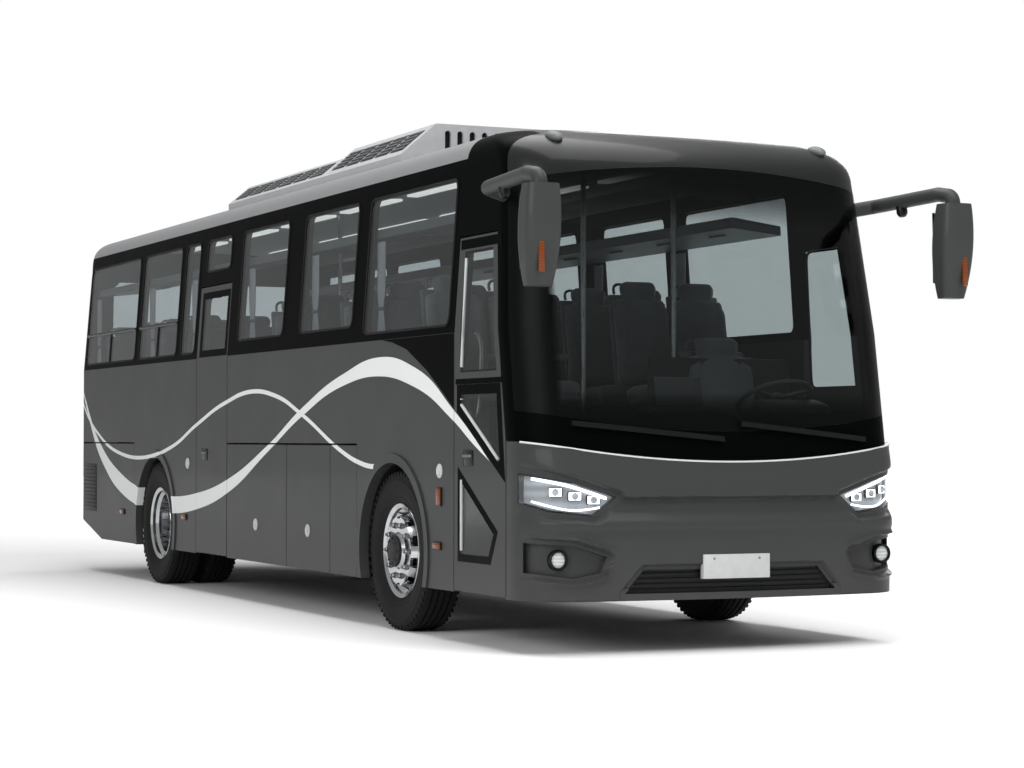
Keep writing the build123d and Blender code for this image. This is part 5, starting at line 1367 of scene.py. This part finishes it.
def swollen(mesh):
    """The mesh remeshed to even cells and blown up by a short cloth simulation, with its swell capped."""
    foam = show("seat_foam", mesh)
    remesh = foam.modifiers.new("even_cells", "REMESH")
    remesh.mode = "VOXEL"
    remesh.voxel_size = VOXEL
    start = settled(foam)
    pad = show("seat_pad", start.copy())
    cloth = pad.modifiers.new("swell", "CLOTH")
    cloth.settings.use_pressure = True
    cloth.settings.uniform_pressure_force = PRESSURE
    cloth.settings.effector_weights.gravity = 0.0
    cloth.point_cache.frame_start, cloth.point_cache.frame_end = 1, SWELL_FRAMES
    for step in range(1, SWELL_FRAMES + 1):
        scene.frame_set(step)
    blown = settled(pad)
    for vert, first in zip(blown.vertices, start.vertices):
        move = vert.co - first.co
        if move.length > SWELL_CAP:
            vert.co = first.co + move.normalized() * SWELL_CAP
    scene.frame_set(1)
    return blown


def sewn(mesh):
    """Presses two long sewn channels into the pad's front faces."""
    for vert in mesh.vertices:
        near = min(abs(vert.co.y - line) for line in CHANNELS)
        if near < CHANNEL_HALF and vert.normal.x + vert.normal.z > 0.3:
            vert.co -= vert.normal * CHANNEL_DEPTH * (1.0 - near / CHANNEL_HALF)
    return mesh


seat_mesh = sewn(swollen(seat_foam()))
print("one seat pad has", len(seat_mesh.polygons), "faces")

# %% [markdown]
# The hard parts of a seat are a moulded back shell, a pedestal, an arm rest and a grab handle on its top
# corner. Copies of pads and hard parts go to every seat's place, read from the solids.

# %% Seats in place
SEAT_W = 0.43
SEAT_BACK_REACH = 0.24
REAR_BENCH_X = -4.5
HANDLE = [(-0.215, -0.16, 1.05), (-0.245, -0.16, 1.10), (-0.245, -0.10, 1.125), (-0.215, -0.06, 1.09)]


def seat_hardware():
    """Shell, pan, pedestal, foot, arm rest and grab handle of one seat."""
    bm = bmesh.new()
    block(bm, (-0.200, -0.195, 0.40), (-0.168, 0.195, 1.05), 0.014, BACK_TIP)
    block(bm, (0.03, -0.19, 0.305), (0.44, 0.19, 0.345), 0.015, SEAT_TIP)
    block(bm, (0.08, -0.055, 0.0), (0.30, 0.055, 0.31), 0.012)
    block(bm, (0.05, -0.09, 0.001), (0.34, 0.09, 0.020), 0.006)
    block(bm, (-0.05, 0.170, 0.585), (0.24, 0.205, 0.625), 0.014)
    pipe(bm, HANDLE, 0.010)
    return to_mesh("seat_hardware", bm)


def copy_to(bm, mesh, matrix):
    """Adds a moved copy of a mesh."""
    copy = mesh.copy()
    copy.transform(matrix)
    bm.from_mesh(copy)
    bpy.data.meshes.remove(copy)


groups = {"seat_pads_right": [], "seat_pads_left": [], "seat_pads_rear": []}
for low, high in solid_boxes("seats"):
    y = (low.y + high.y) / 2
    name = "seat_pads_rear" if low.x < REAR_BENCH_X else "seat_pads_left" if y > 0 else "seat_pads_right"
    shift = Matrix.Translation((low.x + SEAT_BACK_REACH, y, low.z))
    groups[name].append(shift @ Matrix.Diagonal((1.0, (high.y - low.y) / SEAT_W, 1.0, 1.0)))
hard_mesh = seat_hardware()
hard = bmesh.new()
for name, places in groups.items():
    bm = bmesh.new()
    for matrix in places:
        copy_to(bm, seat_mesh, matrix)
        copy_to(hard, hard_mesh, matrix)
    pads = piece(name, bm, seat_cloth, crease=60.0)
    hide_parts("seats")
piece("seat_shells_and_pedestals", hard, grey_plastic)
print("seats", {name: len(places) for name, places in groups.items()})

# %% [markdown]
# A curtain is a flat length of cloth drawn into pleats at its window post and tied at the waist. The pleats
# are a wave across the cloth, and the tie draws them together.

# %% Curtains
PLEATS = 5
PLEAT_STEPS = 60
DROP_STEPS = 26
TIE_AT = 0.30
TIE_HALF_Z = 0.012
ties = bmesh.new()


def curtain(index, low, high):
    """One pleated curtain in its solid's place."""
    bm = bmesh.new()
    grid = bmesh.ops.create_grid(bm, x_segments=PLEAT_STEPS, y_segments=DROP_STEPS, size=0.5)["verts"]
    middle = (low + high) / 2
    width, depth, height = high - low
    for vert in grid:
        across, up = vert.co.x, vert.co.y + 0.5
        waist = 1.0 - 0.45 * math.exp(-((up - TIE_AT) / 0.13) ** 2)
        pleat = math.sin(2 * math.pi * PLEATS * (across + 0.5)) * depth * 0.36
        vert.co = (middle.x + across * width * waist * 0.97, middle.y + pleat * (0.6 + 0.4 * up),
                   low.z + up * height)
    area = sum(face.calc_area() for face in bm.faces)
    cloth = piece(f"curtain_{index:02d}", bm, curtain_cloth, crease=80.0)
    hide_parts("curtains")
    z = low.z + TIE_AT * height
    block(ties, (middle.x - width * 0.30, low.y + 0.001, z - TIE_HALF_Z),
          (middle.x + width * 0.30, high.y - 0.001, z + TIE_HALF_Z), 0.005)


curtain_boxes = sorted(solid_boxes("curtains"), key=lambda pair: (pair[0].y, pair[0].x))
for index, (low, high) in enumerate(curtain_boxes):
    curtain(index, low, high)
piece("curtain_ties", ties, grey_plastic)
print("curtains", len(curtain_boxes))

# %% [markdown]
# Inside, a pale ceiling with two light strips closes the roof, air nozzles sit under the racks, and the cab
# has a hooded instrument panel, a screen, a low partition and a small inside mirror behind the windscreen.

# %% Cabin fittings
CEILING_Z = 2.985
CEILING_X, CEILING_LONG, CEILING_WIDE = -0.55, 8.7, 1.52
STRIP_Y = 0.42
STRIPS = 6
NOZZLE = [(0.022, 0.0), (0.022, -0.010), (0.012, -0.014), (TINY, -0.014)]
NOZZLE_Y, NOZZLE_Z = 0.90, 2.586
HOOD_TIP, SCREEN_TIP, MIRROR_TIP = tip(14.0), tip(-12.0), tip(12.0)
bm = bmesh.new()
grid = bmesh.ops.create_grid(bm, x_segments=40, y_segments=16, size=0.5)["verts"]
for vert in grid:
    vert.co = (CEILING_X + vert.co.x * CEILING_LONG, vert.co.y * CEILING_WIDE,
               CEILING_Z + 0.03 * math.cos(math.pi * vert.co.y))
bmesh.ops.solidify(bm, geom=bm.faces[:], thickness=0.006)
piece("ceiling_liner", bm, ceiling_cloth)
bm = bmesh.new()
for y in (-STRIP_Y, STRIP_Y):
    for k in range(STRIPS):
        x = -4.5 + 1.4 * k
        block(bm, (x, y - 0.045, CEILING_Z - 0.004), (x + 1.1, y + 0.045, CEILING_Z + 0.014), 0.006)
piece("ceiling_lights", bm, strip_glow)
bm = bmesh.new()
for low, high in solid_boxes("seats"):
    if low.x > REAR_BENCH_X and abs(low.y + high.y) > 1.4:
        for shift in (-0.07, 0.0, 0.07):
            spot = (low.x + 0.35 + shift, math.copysign(NOZZLE_Y, low.y), NOZZLE_Z)
            turned(bm, NOZZLE, spot, UP, steps=16)
piece("reading_lamps_and_nozzles", bm, grey_plastic)
bm = bmesh.new()
block(bm, (4.50, 0.40, 1.31), (4.72, 0.88, 1.46), 0.05, HOOD_TIP, 4)
block(bm, (4.60, -0.45, 1.325), (4.76, 0.10, 1.42), 0.03, None, 3)
block(bm, (4.58, -0.30, 1.42), (4.62, 0.02, 1.60), 0.012, SCREEN_TIP)
block(bm, (3.715, 0.12, 0.76), (3.745, 1.16, 1.75), 0.012)
block(bm, (4.66, -0.06, 2.66), (4.69, 0.30, 2.76), 0.012, MIRROR_TIP)
pipe(bm, [(4.67, 0.12, 2.74), (4.62, 0.12, 2.84), (4.55, 0.12, 2.92)], 0.010)
piece("cab_fittings", bm, dash_plastic)
bm = bmesh.new()
block(bm, (4.572, -0.28, 1.44), (4.580, 0.0, 1.58), 0.003, SCREEN_TIP)
block(bm, (4.486, 0.46, 1.345), (4.494, 0.82, 1.44), 0.003, HOOD_TIP)
piece("cab_displays", bm, satin_black)
print("cabin fittings ready")
